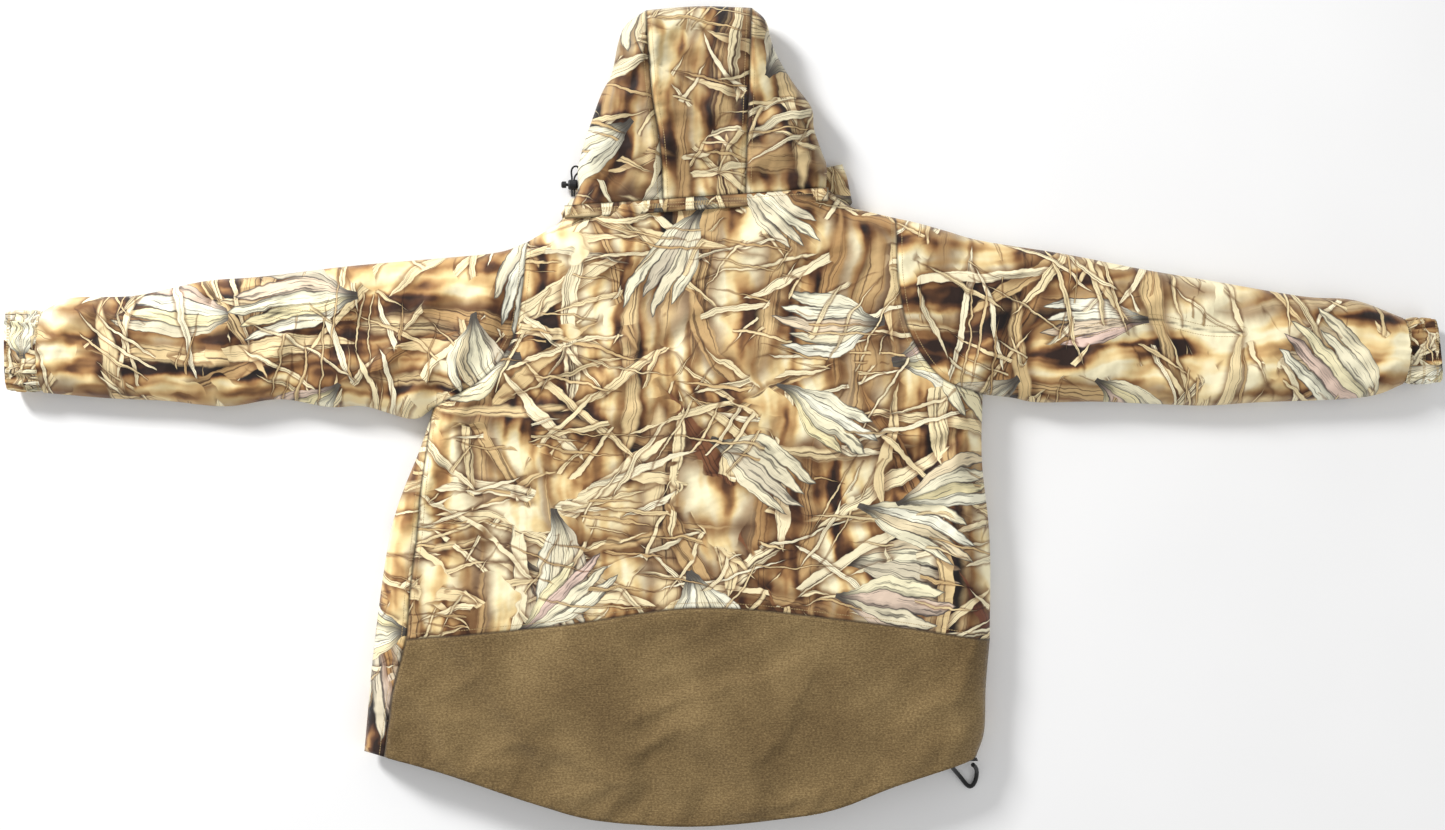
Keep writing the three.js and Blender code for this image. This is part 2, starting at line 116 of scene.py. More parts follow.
def hood_cord_route(lock, root):
    """Out of the hood's edge, up through the lock, round in a loop, and back beside itself."""
    x, y, z = lock
    apart = HOOD_CORD_D / 2 + 0.25
    middle = x - 6
    loop = [(-2.2, 14), (-1.9, 19), (0.8, 23), (5.2, 23.4), (7.8, 19.8), (6.4, 15.2), (3.2, 12)]
    return [
        (root[0] - apart, root[1], root[2]), (middle - apart, y - 9, z), (middle - apart, y, z),
        (middle - apart, y + 9, z), *[(middle + dx, y + dy, z) for dx, dy in loop],
        (middle + apart, y + 8, z), (middle + apart, y, z), (middle + apart, y - 9, z),
        (root[0] + apart, root[1], root[2]),
    ]


def tube(name, points, radius, sides=14):
    """A round tube along a line of points, with capped ends."""
    vertices = []
    across = Vector((0.3, 0.2, 1.0))
    for index, point in enumerate(points):
        before = points[max(index - 1, 0)]
        after = points[min(index + 1, len(points) - 1)]
        way = Vector(after - before).normalized()
        across = (across - way * across.dot(way)).normalized()
        other = way.cross(across)
        for side in range(sides):
            turn = 2 * math.pi * side / sides
            reach = (across * math.cos(turn) + other * math.sin(turn)) * radius
            vertices.append(tuple(Vector(point) + reach))
    faces = [list(range(sides))[::-1], [len(vertices) - sides + i for i in range(sides)]]
    for ring in range(len(points) - 1):
        for side in range(sides):
            here = ring * sides + side
            beside = ring * sides + (side + 1) % sides
            faces.append([here, beside, beside + sides, here + sides])
    mesh = bpy.data.meshes.new(name)
    mesh.from_pydata(vertices, [], faces)
    mesh.shade_smooth()
    made = bpy.data.objects.new(name, mesh)
    bpy.context.scene.collection.objects.link(made)
    return made


def make_cord(name, body, route, diameter, node):
    """A round cord along a smooth route in millimetres; both its ends go into the jacket."""
    points = relaxed(evenly(catmull_rom(route), diameter / 3)) * MM
    cord = tube(name, points, diameter * MM / 2)
    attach(cord, body)
    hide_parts(node)
    return cord


CORDS = [
    make_cord("hem_draw_cord", "torso", HEM_CORD_ROUTE, HEM_CORD_D, "hem_cord_loop"),
    make_cord("hood_left_draw_cord", "hood", hood_cord_route((-183.5, 292, 8.2), (-189.5, 277, 8.2)),
              HOOD_CORD_D, "hood_left_cord"),
    make_cord("hood_right_draw_cord", "hood", hood_cord_route((100, 306, 29), (94, 289, 29)),
              HOOD_CORD_D, "hood_right_cord"),
]

# ---------------------------------------------------------------- outlines, in millimetres
STEP = 4.6  # distance between the points of the cloth


def smooth(points, step=STEP):
    return evenly(catmull_rom(points), step)


def straight(points, step=STEP):
    """A line with corners; every corner keeps its point."""
    parts = [evenly(pair, step)[:-1] for pair in zip(points, points[1:])]
    return np.vstack([*parts, [points[-1]]])


def joined(*lines):
    """One closed outline from lines that follow each other, without doubled points."""
    made = []
    for line in lines:
        for point in np.array(line, float):
            if not made or math.dist(made[-1], point) > 0.5:
                made.append(point)
    if math.dist(made[0], made[-1]) < 0.5:
        made.pop()
    return np.array(made)


def hood_line_y(x):
    """Where the neck seam under the hood is, at a given x."""
    return 262 + (x + 190) * 22 / 320


def crossing(line, x):
    """The point of a line at a given x."""
    order = np.argsort(line[:, 0])
    return (x, float(np.interp(x, line[order, 0], line[order, 1])))


def split_at(line, x):
    """The two parts of a line that runs away from the middle, split at a given x."""
    spot = crossing(line, x)
    inner = [tuple(p) for p in line if abs(p[0]) < abs(x) - 2]
    outer = [tuple(p) for p in line if abs(p[0]) > abs(x) + 2]
    return np.array([*inner, spot]), np.array([spot, *outer])


CENTRE_X = -20
FRONT_HEM_Y = -426
ARMHOLE = {
    "left": smooth([(-246, 219), (-250, 158), (-263, 95), (-299, 46), (-366, 8)]),
    "right": smooth([(218, 249), (219, 171), (234, 101), (273, 46), (329, 26)]),
}
SIDE_LEFT = smooth([(-366, 8), (-383, -44), (-409, -110), (-424, -170), (-441, -296), (-453, -425)])
SIDE_RIGHT_UPPER = smooth([(329, 26), (328, -56), (338, -160), (338, -283)])
SIDE_RIGHT_LOWER = smooth([(338, -283), (333, -343), (331, -399), (321, -431)])
SEAM_UPPER = straight([(-366, 8), (-371, -40), (-396, -281)])
SEAM_LOWER = straight([(-396, -281), (-413, -350), (-424, -428)])
HEM = smooth([(-424, -428), (-338, -451), (-238, -485), (-152, -507), (-28, -514), (87, -503),
              (144, -492), (216, -464), (270, -446), (321, -431)])
TAIL_TOP = smooth([(-396, -281), (-210, -264), (-28, -241), (160, -257), (338, -283)])
SHOULDER = {
    "left": straight([(-209, 241), (-246, 219)]),
    "right": straight([(167, 261), (218, 249)]),
}
NECK = straight([(-209, 241), (-190, 262), (130, 284), (167, 261)])

HOOD_EDGE = {
    "left": smooth([(-190, 262), (-184, 284), (-182, 308), (-176, 335), (-164, 371), (-152, 404),
                    (-139, 430), (-131, 468), (-121, 491), (-96, 509)]),
    "right": smooth([(130, 284), (131, 312), (125, 330), (115, 360), (112, 386), (90, 416),
                     (72, 445), (62, 468), (54, 496), (37, 512)]),
}
HOOD_SEAM = {
    "left": smooth([(-74, hood_line_y(-74)), (-78, 340), (-88, 404), (-96, 509)]),
    "right": smooth([(29, hood_line_y(29)), (32, 379), (37, 512)]),
}
HOOD_TOP_EDGE = smooth([(-96, 509), (-30, 514), (37, 512)])

SLEEVE_TOP = {
    "left": smooth([(-246, 219), (-282, 206), (-346, 199), (-464, 189), (-584, 175), (-656, 169),
                    (-743, 151), (-823, 148), (-858, 132)]),
    "right": smooth([(218, 249), (246, 243), (282, 233), (329, 220), (430, 204), (533, 184),
                     (628, 168), (734, 150), (800, 145), (860, 123)]),
}
SLEEVE_BOTTOM = {
    "left": smooth([(-366, 8), (-393, -5), (-453, 11), (-497, 10), (-560, 20), (-628, 11),
                    (-704, 18), (-772, 21), (-858, 28)]),
    "right": smooth([(329, 26), (366, 22), (399, 16), (470, 17), (545, 14), (612, 12), (676, 16),
                     (782, 20), (828, 26), (860, 39)]),
}
SPLIT_X = {"left": -464, "right": 452}
ELBOW_X = {"left": -560, "right": 545}
SLEEVE_END_X = {"left": -858, "right": 860}
FOLD = {"left": ((-267.3, 211.5), (-381, -6)), "right": ((235, 240.5), (341.5, 25.5))}
OUTWARD = {"left": -1, "right": 1}


# ---------------------------------------------------------------- noise and distances
def lattice(ix, iy, seed):
    """A repeatable number from 0 to 1 for each point of a grid."""
    mixed = np.sin(ix * 127.1 + iy * 311.7 + seed * 74.7) * 43758.5453
    return mixed - np.floor(mixed)


def wave_noise(x, y, seed):
    """Smooth noise from -1 to 1 with features about one unit across."""
    ix = np.floor(x)
    iy = np.floor(y)
    fx = x - ix
    fy = y - iy
    total = 0
    for cx, cy in ((0, 0), (1, 0), (0, 1), (1, 1)):
        turn = 2 * math.pi * lattice(ix + cx, iy + cy, seed)
        slope = np.cos(turn) * (fx - cx) + np.sin(turn) * (fy - cy)
        near_x = 1 - np.abs(fx - cx)
        near_y = 1 - np.abs(fy - cy)
        weight = near_x ** 2 * (3 - 2 * near_x) * near_y ** 2 * (3 - 2 * near_y)
        total = total + slope * weight
    return total * 1.6


def folds(x, y, angle, length, width, seed):
    """Long rounded ridges that run at an angle in degrees; lengths in millimetres."""
    turn = math.radians(angle)
    along = x * math.cos(turn) + y * math.sin(turn)
    across = y * math.cos(turn) - x * math.sin(turn)
    bent = across + 0.35 * width * wave_noise(x / (2.2 * width), y / (2.2 * width), seed + 5)
    value = wave_noise(along / length, bent / width, seed)
    return 1 - 2 * np.abs(value) ** 0.8


def ramp(value, low, high):
    """Goes smoothly from 0 at low to 1 at high."""
    t = np.clip((value - low) / (high - low), 0, 1)
    return t * t * (3 - 2 * t)


def distance_to(points, *lines):
    """How far each point is from the nearest of some lines, and how far along it that is."""
    nearest = np.full(len(points), 1e9)
    place = np.zeros(len(points))
    for line in lines:
        travelled = 0.0
        for a, b in zip(line, line[1:]):
            span = b - a
            size = float(np.dot(span, span))
            t = np.clip((points - a) @ span / size, 0, 1)
            away = np.linalg.norm(points - (a + t[:, None] * span), axis=1)
            closer = away < nearest
            nearest[closer] = away[closer]
            place[closer] = travelled + t[closer] * math.sqrt(size)
            travelled += math.sqrt(size)
    return nearest, place


def away_from(points, *lines):
    """How far each point is from the nearest of some lines."""
    return distance_to(points, *lines)[0]


def edge_distance(points, outline):
    """How far each point is from the edge of a closed outline."""
    return away_from(points, np.vstack([outline, outline[:1]]))


def inside(points, outline):
    """Which points are inside a closed outline."""
    found = np.zeros(len(points), bool)
    x, y = points.T
    for (x0, y0), (x1, y1) in zip(outline, np.roll(outline, -1, axis=0)):
        if y0 == y1:
            continue
        spans = (y0 > y) != (y1 > y)
        found ^= spans & (x < (x1 - x0) * (y - y0) / (y1 - y0) + x0)
    return found


def fill(outline, step=STEP):
    """Points and triangles that fill an outline evenly."""
    low = outline.min(axis=0)
    high = outline.max(axis=0)
    row_height = step * math.sqrt(0.75)
    rows = np.arange(math.floor(low[1] / row_height), math.ceil(high[1] / row_height) + 1)
    columns = np.arange(math.floor(low[0] / step) - 1, math.ceil(high[0] / step) + 2)
    grid = np.array([((c + 0.5 * (r % 2)) * step, r * row_height) for r in rows for c in columns])
    grid = grid[inside(grid, outline)]
    grid = grid[edge_distance(grid, outline) > 0.55 * step]
    everything = [Vector(p) for p in outline] + [Vector(p) for p in grid]
    loop = list(range(len(outline)))
    found = delaunay_2d_cdt(everything, [], [loop], 1, 1e-4)
    flat = np.array([(p.x, p.y) for p in found[0]])
    return flat, [list(face) for face in found[2]]


# ---------------------------------------------------------------- heights of the cloth
SILHOUETTES = [
    SIDE_LEFT, SIDE_RIGHT_UPPER, SIDE_RIGHT_LOWER, SHOULDER["left"], SHOULDER["right"],
    NECK[:4], NECK[-6:], SLEEVE_TOP["left"], SLEEVE_TOP["right"], SLEEVE_BOTTOM["left"],
    SLEEVE_BOTTOM["right"],
]
HOOD_SILHOUETTES = [HOOD_EDGE["left"], HOOD_EDGE["right"], HOOD_TOP_EDGE]
ARMPITS = [(-340, -10), (318, 0)]
RIM_HEIGHT = 15.0  # where the back and the front meet along the outline
BACK_TOP = 48.5
SLEEVE_HEIGHT = 45.5
HOOD_HEIGHT = 54.0
HOOD_RIM = 30.0
HOOD_EYELET = (-183, 288)  # where the hood's left draw cord comes out
HOOD_EYELET_HEIGHT = 11.0
HOOD_UNDERSIDE = 3.0
HOOD_LIFTED = 21.5  # the hood's underside passes over the folded collar


def rounded(distance, width):
    """0 at an edge and 1 past a width from it, along a quarter circle."""
    t = np.clip(distance / width, 0, 1)
    return np.sqrt(np.maximum(0, 1 - (1 - t) ** 2))


def body_wrinkles(points):
    """Height of the folds in the back and the sleeves."""
    x, y = points.T
    out = ramp(np.abs(x - CENTRE_X), 260, 400) * ramp(y, -60, 20)
    broad = 2.4 * folds(x, y, 78, 420, 150, 1) + 1.5 * folds(x, y, -52, 240, 90, 2)
    crease = 1.1 * folds(x, y, 24, 150, 46, 3)
    from_armpits = 0
    for px, py in ARMPITS:
        reach = np.hypot(x - px, y - py)
        angle = np.degrees(np.arctan2(y - py, x - px))
        fade = (1 - ramp(reach, 60, 300)) * ramp(reach, 0, 40)
        from_armpits = from_armpits + 2.2 * fade * np.sin(np.radians(angle) * 9 + reach / 60)
    body = broad + crease + from_armpits
    lean = np.where(x < 0, 1.0, -1.0)
    arm = 3.0 * folds(x * lean, y, 64, 120, 52, 4) + 2.2 * folds(x * lean, y, -38, 150, 44, 6)
    arm = arm + 1.2 * folds(x, y, 5, 130, 30, 7)
    return body * (1 - out) + arm * out


def cuff_gathers(points):
    """Pleats that the elastic at each wrist makes in the end of its sleeve."""
    x, y = points.T
    near = np.exp(-np.minimum(np.abs(x - SLEEVE_END_X["left"]), np.abs(x - SLEEVE_END_X["right"])) / 26)
    swing = y / 15 * 2 * math.pi + 3 * wave_noise(x / 60, y / 22, 11)
    return 2.6 * near * np.sin(swing)


def plain_top_height(points):
    """The top of the back and the sleeves before the cloth settles."""
    away = away_from(points, *SILHOUETTES)
    out = ramp(np.abs(points[:, 0] - CENTRE_X), 260, 420)
    crown = BACK_TOP + (SLEEVE_HEIGHT - BACK_TOP) * out
    width = 46 + 6 * out
    shape = RIM_HEIGHT + (crown - RIM_HEIGHT) * rounded(away, width)
    loose = ramp(away, 2, 40)
    return shape + (body_wrinkles(points) + cuff_gathers(points)) * loose - 1.5 * loose


def under_height(points):
    """The underside of the body and the sleeves, just clear of the floor."""
    x, y = points.T
    away = away_from(points, *SILHOUETTES)
    shape = RIM_HEIGHT - (RIM_HEIGHT - 1.4) * rounded(away, 30)
    loose = ramp(away, 6, 40)
    lifted = 0.9 + 0.9 * folds(x, y, 30, 120, 45, 21) + 0.8 * folds(x, y, -50, 160, 60, 22)
    return shape + np.maximum(lifted, -0.6) * loose


def hood_wrinkles(points):
    """Height of the folds in the hood."""
    x, y = points.T
    long_folds = 2.4 * folds(x, y, 70, 170, 52, 31) + 1.8 * folds(x, y, 20, 120, 44, 32)
    return long_folds + 1.0 * folds(x, y, -35, 90, 30, 33)


def hood_rim_height(points):
    """The height of the hood's edge, which droops to the left cord's eyelet."""
    x, y = points.T
    from_eyelet = np.hypot(x - HOOD_EYELET[0], y - HOOD_EYELET[1])
    return HOOD_RIM - (HOOD_RIM - HOOD_EYELET_HEIGHT) * np.exp(-(from_eyelet / 15) ** 2)


def plain_hood_height(points):
    """The top of the hood before its cloth settles, with the tuck beside its left seam."""
    x, y = points.T
    away = away_from(points, *HOOD_SILHOUETTES)
    beside = away_from(points, HOOD_SEAM["left"])
    past = y - hood_line_y(x)
    crown = BACK_TOP + 1.5 + (HOOD_HEIGHT - BACK_TOP - 1.5) * ramp(past, 0, 70)
    rim = hood_rim_height(points)
    shape = rim + (crown - rim) * rounded(away, 40)
    loose = ramp(away, 2, 34) * ramp(past, 2, 30)
    tuck = 3.0 * np.exp(-((beside - 9) / 5) ** 2) * (x < -80)
    return shape + (hood_wrinkles(points) + tuck) * loose - 1.0 * loose


def hood_under_height(points):
    """The hood's underside, from over the collar down to the floor."""
    away = away_from(points, *HOOD_SILHOUETTES)
    floor = HOOD_LIFTED + (HOOD_UNDERSIDE - HOOD_LIFTED) * ramp(points[:, 1], 326, 356)
    rim = hood_rim_height(points)
    return rim + (floor - rim) * rounded(away, 26)


# ---------------------------------------------------------------- how the cloth settles
BUCKLE_STEP = 11.0
BUCKLE_FRAMES = 22
BUCKLE_LOW = -3.5  # how far the settled cloth may sink and rise, in millimetres
BUCKLE_HIGH = 7.5


class Settled:
    """How a sheet lies once its cloth, a little too big for its outline, has been simulated."""

    def __init__(self, outline, height, least_growth, most_growth, looseness):
        self.places, faces = fill(outline, BUCKLE_STEP)
        self.rises = np.zeros(len(self.places))
        self.tree = kdtree.KDTree(len(self.places))
        for index, (x, y) in enumerate(self.places):
            self.tree.insert((x, y, 0), index)
        self.tree.balance()
        rest = np.column_stack([self.places, height(self.places)])
        made = self.dressed(outline, faces, rest, looseness)
        self.cloth_settings(made, least_growth, most_growth)
        scene = bpy.context.scene
        for number in range(1, BUCKLE_FRAMES + 1):
            scene.frame_set(number)
        done = made.evaluated_get(bpy.context.evaluated_depsgraph_get()).to_mesh()
        spots = np.empty(len(done.vertices) * 3)
        done.vertices.foreach_get("co", spots)
        self.rises = np.clip(spots[2::3] / MM - rest[:, 2], BUCKLE_LOW, BUCKLE_HIGH)
        bpy.data.objects.remove(made)
        scene.frame_set(1)

    def dressed(self, outline, faces, rest, looseness):
        """The sheet as a mesh, held at its outline and drawn gently to its place elsewhere."""
        mesh = bpy.data.meshes.new("settling")
        mesh.from_pydata([tuple(p) for p in rest * MM], [], faces)
        made = bpy.data.objects.new("settling", mesh)
        bpy.context.scene.collection.objects.link(made)
        away = edge_distance(self.places, outline)
        held = made.vertex_groups.new(name="held")
        loose = made.vertex_groups.new(name="loose")
        for index, (distance, share) in enumerate(zip(away, looseness(self.places))):
            held.add([index], 1.0 if distance < 6 else 0.04, "REPLACE")
            loose.add([index], float(share), "REPLACE")
        return made

    @staticmethod
    def cloth_settings(made, least_growth, most_growth):
        modifier = made.modifiers.new("cloth", "CLOTH")
        settings = modifier.settings
        settings.quality = 5
        settings.mass = 0.3
        settings.tension_stiffness = 20
        settings.compression_stiffness = 20
        settings.shear_stiffness = 8
        settings.bending_stiffness = 0.8
        settings.air_damping = 2.0
        settings.effector_weights.gravity = 0
        settings.vertex_group_mass = "held"
        settings.pin_stiffness = 1.0
        settings.vertex_group_shrink = "loose"
        settings.shrink_min = -least_growth
        settings.shrink_max = -most_growth
        modifier.point_cache.frame_start = 1
        modifier.point_cache.frame_end = BUCKLE_FRAMES

    def rise(self, points):
        """How much higher the settled cloth is at each point."""
        if not self.rises.any():
            return np.zeros(len(points))
        lifted = np.empty(len(points))
        for index, (x, y) in enumerate(points):
            total = 0.0
            weights = 0.0
            for _, neighbour, distance in self.tree.find_n((x, y, 0), 5):
                weight = 1 / (distance + 1.5) ** 2
                total += weight * self.rises[neighbour]
                weights += weight
            lifted[index] = total / weights
        return lifted


def in_the_sleeves(points):
    """0 over the body and 1 out in the sleeves."""
    x, y = points.T
    return ramp(np.abs(x - CENTRE_X), 250, 400) * ramp(y, -60, 20)


def in_the_hood(points):
    """The same looseness all over the hood."""
    return np.ones(len(points))


SLEEVE_ENDS = {"left": straight([(-858, 28), (-858, 132)]), "right": straight([(860, 123), (860, 39)])}
SHELL_OUTLINE = joined(
    NECK, SHOULDER["right"], SLEEVE_TOP["right"], SLEEVE_ENDS["right"], SLEEVE_BOTTOM["right"][::-1],
    SIDE_RIGHT_UPPER, SIDE_RIGHT_LOWER, HEM[::-1], [(-453, -425)], SIDE_LEFT[::-1],
    SLEEVE_BOTTOM["left"], SLEEVE_ENDS["left"], SLEEVE_TOP["left"][::-1], SHOULDER["left"][::-1])
HOOD_OUTLINE = joined(
    NECK, HOOD_EDGE["right"], HOOD_TOP_EDGE[::-1], HOOD_EDGE["left"][::-1])
SHELL_SETTLED = Settled(SHELL_OUTLINE, plain_top_height, 0.022, 0.065, in_the_sleeves)
HOOD_SETTLED = Settled(HOOD_OUTLINE, plain_hood_height, 0.045, 0.045, in_the_hood)


def top_height(points):
    """The top of the back and the sleeves, with the settled cloth."""
    away = away_from(points, *SILHOUETTES)
    return plain_top_height(points) + SHELL_SETTLED.rise(points) * ramp(away, 0, 25)


def hood_top_height(points):
    """The top of the hood, with the settled cloth."""
    away = away_from(points, *HOOD_SILHOUETTES)
    past = points[:, 1] - hood_line_y(points[:, 0])
    free = ramp(away, 0, 20) * ramp(past, 2, 25)
    return plain_hood_height(points) + HOOD_SETTLED.rise(points) * free


# ---------------------------------------------------------------- cloth pieces
SEAMS = [
    ARMHOLE["left"], ARMHOLE["right"], SEAM_UPPER, SEAM_LOWER, TAIL_TOP, NECK,
    HOOD_SEAM["left"], HOOD_SEAM["right"],
]


def new_object(name, vertices, faces, material):
    mesh = bpy.data.meshes.new(name)
    mesh.from_pydata([tuple(v) for v in vertices], [], faces)
    mesh.materials.append(material)
    mesh.shade_smooth()
    made = bpy.data.objects.new(name, mesh)
    bpy.context.scene.collection.objects.link(made)
    return made


def add_attribute(mesh, name, values):
    """Stores one number or one vector for each vertex."""
    values = np.asarray(values, float)
    kind = "FLOAT" if values.ndim == 1 else "FLOAT_VECTOR"
    layer = mesh.attributes.new(name, kind, "POINT")
    layer.data.foreach_set("value" if kind == "FLOAT" else "vector", values.ravel())


class Sheet:
    """Part of a cloth piece: flat outline, the height over it, and where it lies on the print."""

    def __init__(self, outline, height, facing=1, print_shift=(0, 0), print_turn=0, step=STEP):
        self.flat, self.faces = fill(outline, step)
        self.height = height(self.flat)
        if facing < 0:
            self.faces = [face[::-1] for face in self.faces]
        turn = math.radians(print_turn)
        x, y = self.flat.T * MM
        self.cut = np.column_stack([
            x * math.cos(turn) - y * math.sin(turn) + print_shift[0],
            x * math.sin(turn) + y * math.cos(turn) + print_shift[1],
            np.zeros(len(x)),
        ])


def both_faces(outline, face, *cut, **how):
    """The upper and the lower sheet of a closed form; face(1) and face(-1) are their heights."""
    return [Sheet(outline, face(1), 1, *cut, **how), Sheet(outline, face(-1), -1, *cut, **how)]


def without_flat_ears(vertices, cuts, faces):
    """Leaves out the corner triangles that an upper and a lower sheet share, and collapsed ones."""
    shared = Counter(frozenset(face) for face in faces)
    faces = [face for face in faces if len(set(face)) == 3 and shared[frozenset(face)] == 1]
    kept = sorted({i for face in faces for i in face})
    renumbered = {old: new for new, old in enumerate(kept)}
    faces = [[renumbered[i] for i in face] for face in faces]
    return [vertices[i] for i in kept], [cuts[i] for i in kept], faces


def cloth(name, sheets, material, seams=SEAMS, groove=1.3, thickness=0.0):
    """One cloth piece made of sheets that are sewn together where their edges meet."""
    points = {}
    vertices = []
    cuts = []
    faces = []
    for sheet in sheets:
        index = []
        for (x, y), z, where in zip(sheet.flat, sheet.height, sheet.cut):
            key = (round(x, 1), round(y, 1), round(z, 1))
            if key not in points:
                points[key] = len(vertices)
                vertices.append((x * MM, y * MM, z * MM))
                cuts.append(where)
            index.append(points[key])
        faces += [[index[i] for i in face] for face in sheet.faces]
    vertices, cuts, faces = without_flat_ears(vertices, cuts, faces)
    made = new_object(name, vertices, faces, material)
    add_attribute(made.data, "cut", np.array(cuts))
    finish_seams(made, seams, groove)
    if thickness:
        thicken(made, thickness)
    return made


def put_in_order(elements, measure):
    """Sorts a mesh's vertices or faces, so that they come in the same order in each run."""
    elements.index_update()
    rank = {element.index: count for count, element in enumerate(sorted(elements, key=measure))}
    elements.sort(key=lambda element: rank[element.index])
    elements.index_update()


def thicken(made, thickness):
    """Gives a single sheet a second face below it and closes its edges."""
    solid = bmesh.new()
    solid.from_mesh(made.data)
    bmesh.ops.solidify(solid, geom=solid.faces[:], thickness=thickness * MM)
    put_in_order(solid.verts, lambda vertex: tuple(vertex.co))
    put_in_order(solid.faces, lambda face: sorted(vertex.index for vertex in face.verts))
    solid.to_mesh(made.data)
    solid.free()
    made.data.update()


def positions(made):
    spots = np.empty(len(made.data.vertices) * 3)
    made.data.vertices.foreach_get("co", spots)
    return spots.reshape(-1, 3)


def set_positions(made, spots):
    made.data.vertices.foreach_set("co", np.asarray(spots, float).ravel())
    made.data.update()


def finish_seams(made, seams, groove):
    """Pulls the cloth in along its seams, puckers it there, and marks where stitches go."""
    spots = positions(made)
    away, place = distance_to(spots[:, :2] / MM, *seams)
    add_attribute(made.data, "seam_distance", away * MM)
    add_attribute(made.data, "seam_place", place * MM)
    pull = np.exp(-(away / 4.5) ** 2) * groove
    pucker = np.exp(-((away - 8) / 8) ** 2) * 0.6 * groove * np.sin(place / 13 * 2 * math.pi)
    ridge = np.exp(-((away - 6) / 4) ** 2) * 0.35 * groove
    up = np.where(spots[:, 2] > RIM_HEIGHT * MM, 1.0, -1.0)
    spots[:, 2] += (ridge + pucker * 0.5 - pull) * up * MM
    set_positions(made, spots)


# ---------------------------------------------------------------- materials
class Wire:
    """A value inside a material. Arithmetic on it adds the Math nodes that work it out."""

    def __init__(self, tree, socket):
        self.tree = tree
        self.socket = socket

    def math(self, operation, *others):
        node = self.tree.nodes.new("ShaderNodeMath")
        node.operation = operation
        for slot, value in zip(node.inputs, (self, *others)):
            connect(self.tree, value, slot)
        return Wire(self.tree, node.outputs[0])

    def __add__(self, other):
        return self.math("ADD", other)

    def __sub__(self, other):
        return self.math("SUBTRACT", other)

    def __mul__(self, other):
        return self.math("MULTIPLY", other)

    def __truediv__(self, other):
        return self.math("DIVIDE", other)

    def __pow__(self, other):
        return self.math("POWER", other)

    def less_than(self, other):
        return self.math("LESS_THAN", other)

    def fraction(self):
        return self.math("FRACT")

    def floor(self):
        return self.math("FLOOR")

    def size(self):
        return self.math("ABSOLUTE")

    def taken_from(self, number):
        """number minus this value."""
        return (self * -1.0) + number


def connect(tree, value, slot):
    if isinstance(value, Wire):
        tree.links.new(value.socket, slot)
    else:
        slot.default_value = value


def smooth_ramp(value, low, high, to_low=0.0, to_high=1.0):
    node = value.tree.nodes.new("ShaderNodeMapRange")
    node.interpolation_type = "SMOOTHSTEP"
    for slot, given in zip(node.inputs, (value, low, high, to_low, to_high)):
        connect(value.tree, given, slot)
    return Wire(value.tree, node.outputs[0])


def vector_of(tree, x=0.0, y=0.0, z=0.0):
    node = tree.nodes.new("ShaderNodeCombineXYZ")
    for slot, value in zip(node.inputs, (x, y, z)):
        connect(tree, value, slot)
    return Wire(tree, node.outputs[0])


def parts_of(vector):
    node = vector.tree.nodes.new("ShaderNodeSeparateXYZ")
    connect(vector.tree, vector, node.inputs[0])
    return [Wire(vector.tree, out) for out in node.outputs]


def vector_math(operation, vector, other=None, scale=None):
    node = vector.tree.nodes.new("ShaderNodeVectorMath")
    node.operation = operation
    connect(vector.tree, vector, node.inputs[0])
    if other is not None:
        connect(vector.tree, other, node.inputs[1])
    if scale is not None:
        connect(vector.tree, scale, node.inputs["Scale"])
    return Wire(vector.tree, node.outputs[0])


def placed(vector, turn=0.0, scale=(1, 1, 1), shift=(0, 0, 0)):
    """Coordinates moved, turned by an angle in degrees, and measured in units of a given size."""
    node = vector.tree.nodes.new("ShaderNodeMapping")
    node.vector_type = "TEXTURE"
    connect(vector.tree, vector, node.inputs["Vector"])
    node.inputs["Location"].default_value = shift
    node.inputs["Rotation"].default_value = (0, 0, math.radians(turn))
    node.inputs["Scale"].default_value = scale
    return Wire(vector.tree, node.outputs[0])


def texture_noise(vector, scale=1.0, detail=1.0, roughness=0.5, colour=False, flat=True):
    node = vector.tree.nodes.new("ShaderNodeTexNoise")
    node.noise_dimensions = "2D" if flat else "3D"
    connect(vector.tree, vector, node.inputs["Vector"])
    node.inputs["Scale"].default_value = scale
    node.inputs["Detail"].default_value = detail
    node.inputs["Roughness"].default_value = roughness
    return Wire(vector.tree, node.outputs["Color" if colour else "Fac"])


def random_of(vector):
    """One random number and one random colour for each whole-numbered place."""
    node = vector.tree.nodes.new("ShaderNodeTexWhiteNoise")
    node.noise_dimensions = "3D"
    connect(vector.tree, vector, node.inputs["Vector"])
    return Wire(vector.tree, node.outputs["Value"]), Wire(vector.tree, node.outputs["Color"])


def colour_mix(share, first, second, how="MIX"):
    tree = share.tree
    node = tree.nodes.new("ShaderNodeMix")
    node.data_type = "RGBA"
    node.blend_type = how
    connect(tree, share, node.inputs["Factor"])
    connect(tree, first, node.inputs[6])
    connect(tree, second, node.inputs[7])
    return Wire(tree, node.outputs[2])


def colour_ramp(value, stops):
    """Colours from 0 to 255 at places along a value, and even mixtures between them."""
    node = value.tree.nodes.new("ShaderNodeValToRGB")
    node.color_ramp.interpolation = "LINEAR"
    connect(value.tree, value, node.inputs[0])
    elements = node.color_ramp.elements
    elements[0].position, elements[0].color = stops[0][0], rgb(stops[0][1])
    elements[1].position, elements[1].color = stops[-1][0], rgb(stops[-1][1])
    for position, tint in stops[1:-1]:
        elements.new(position).color = rgb(tint)
    return Wire(value.tree, node.outputs[0])


def rgb(tint):
    """A screen colour from 0 to 255 as the linear colour that shaders use."""
    linear = [((v / 255 + 0.055) / 1.055) ** 2.4 if v > 10 else v / 3295 for v in tint]
    return (*linear, 1.0)


def attribute(tree, name, vector=False):
    node = tree.nodes.new("ShaderNodeAttribute")
    node.attribute_name = name
    return Wire(tree, node.outputs["Vector" if vector else "Fac"])


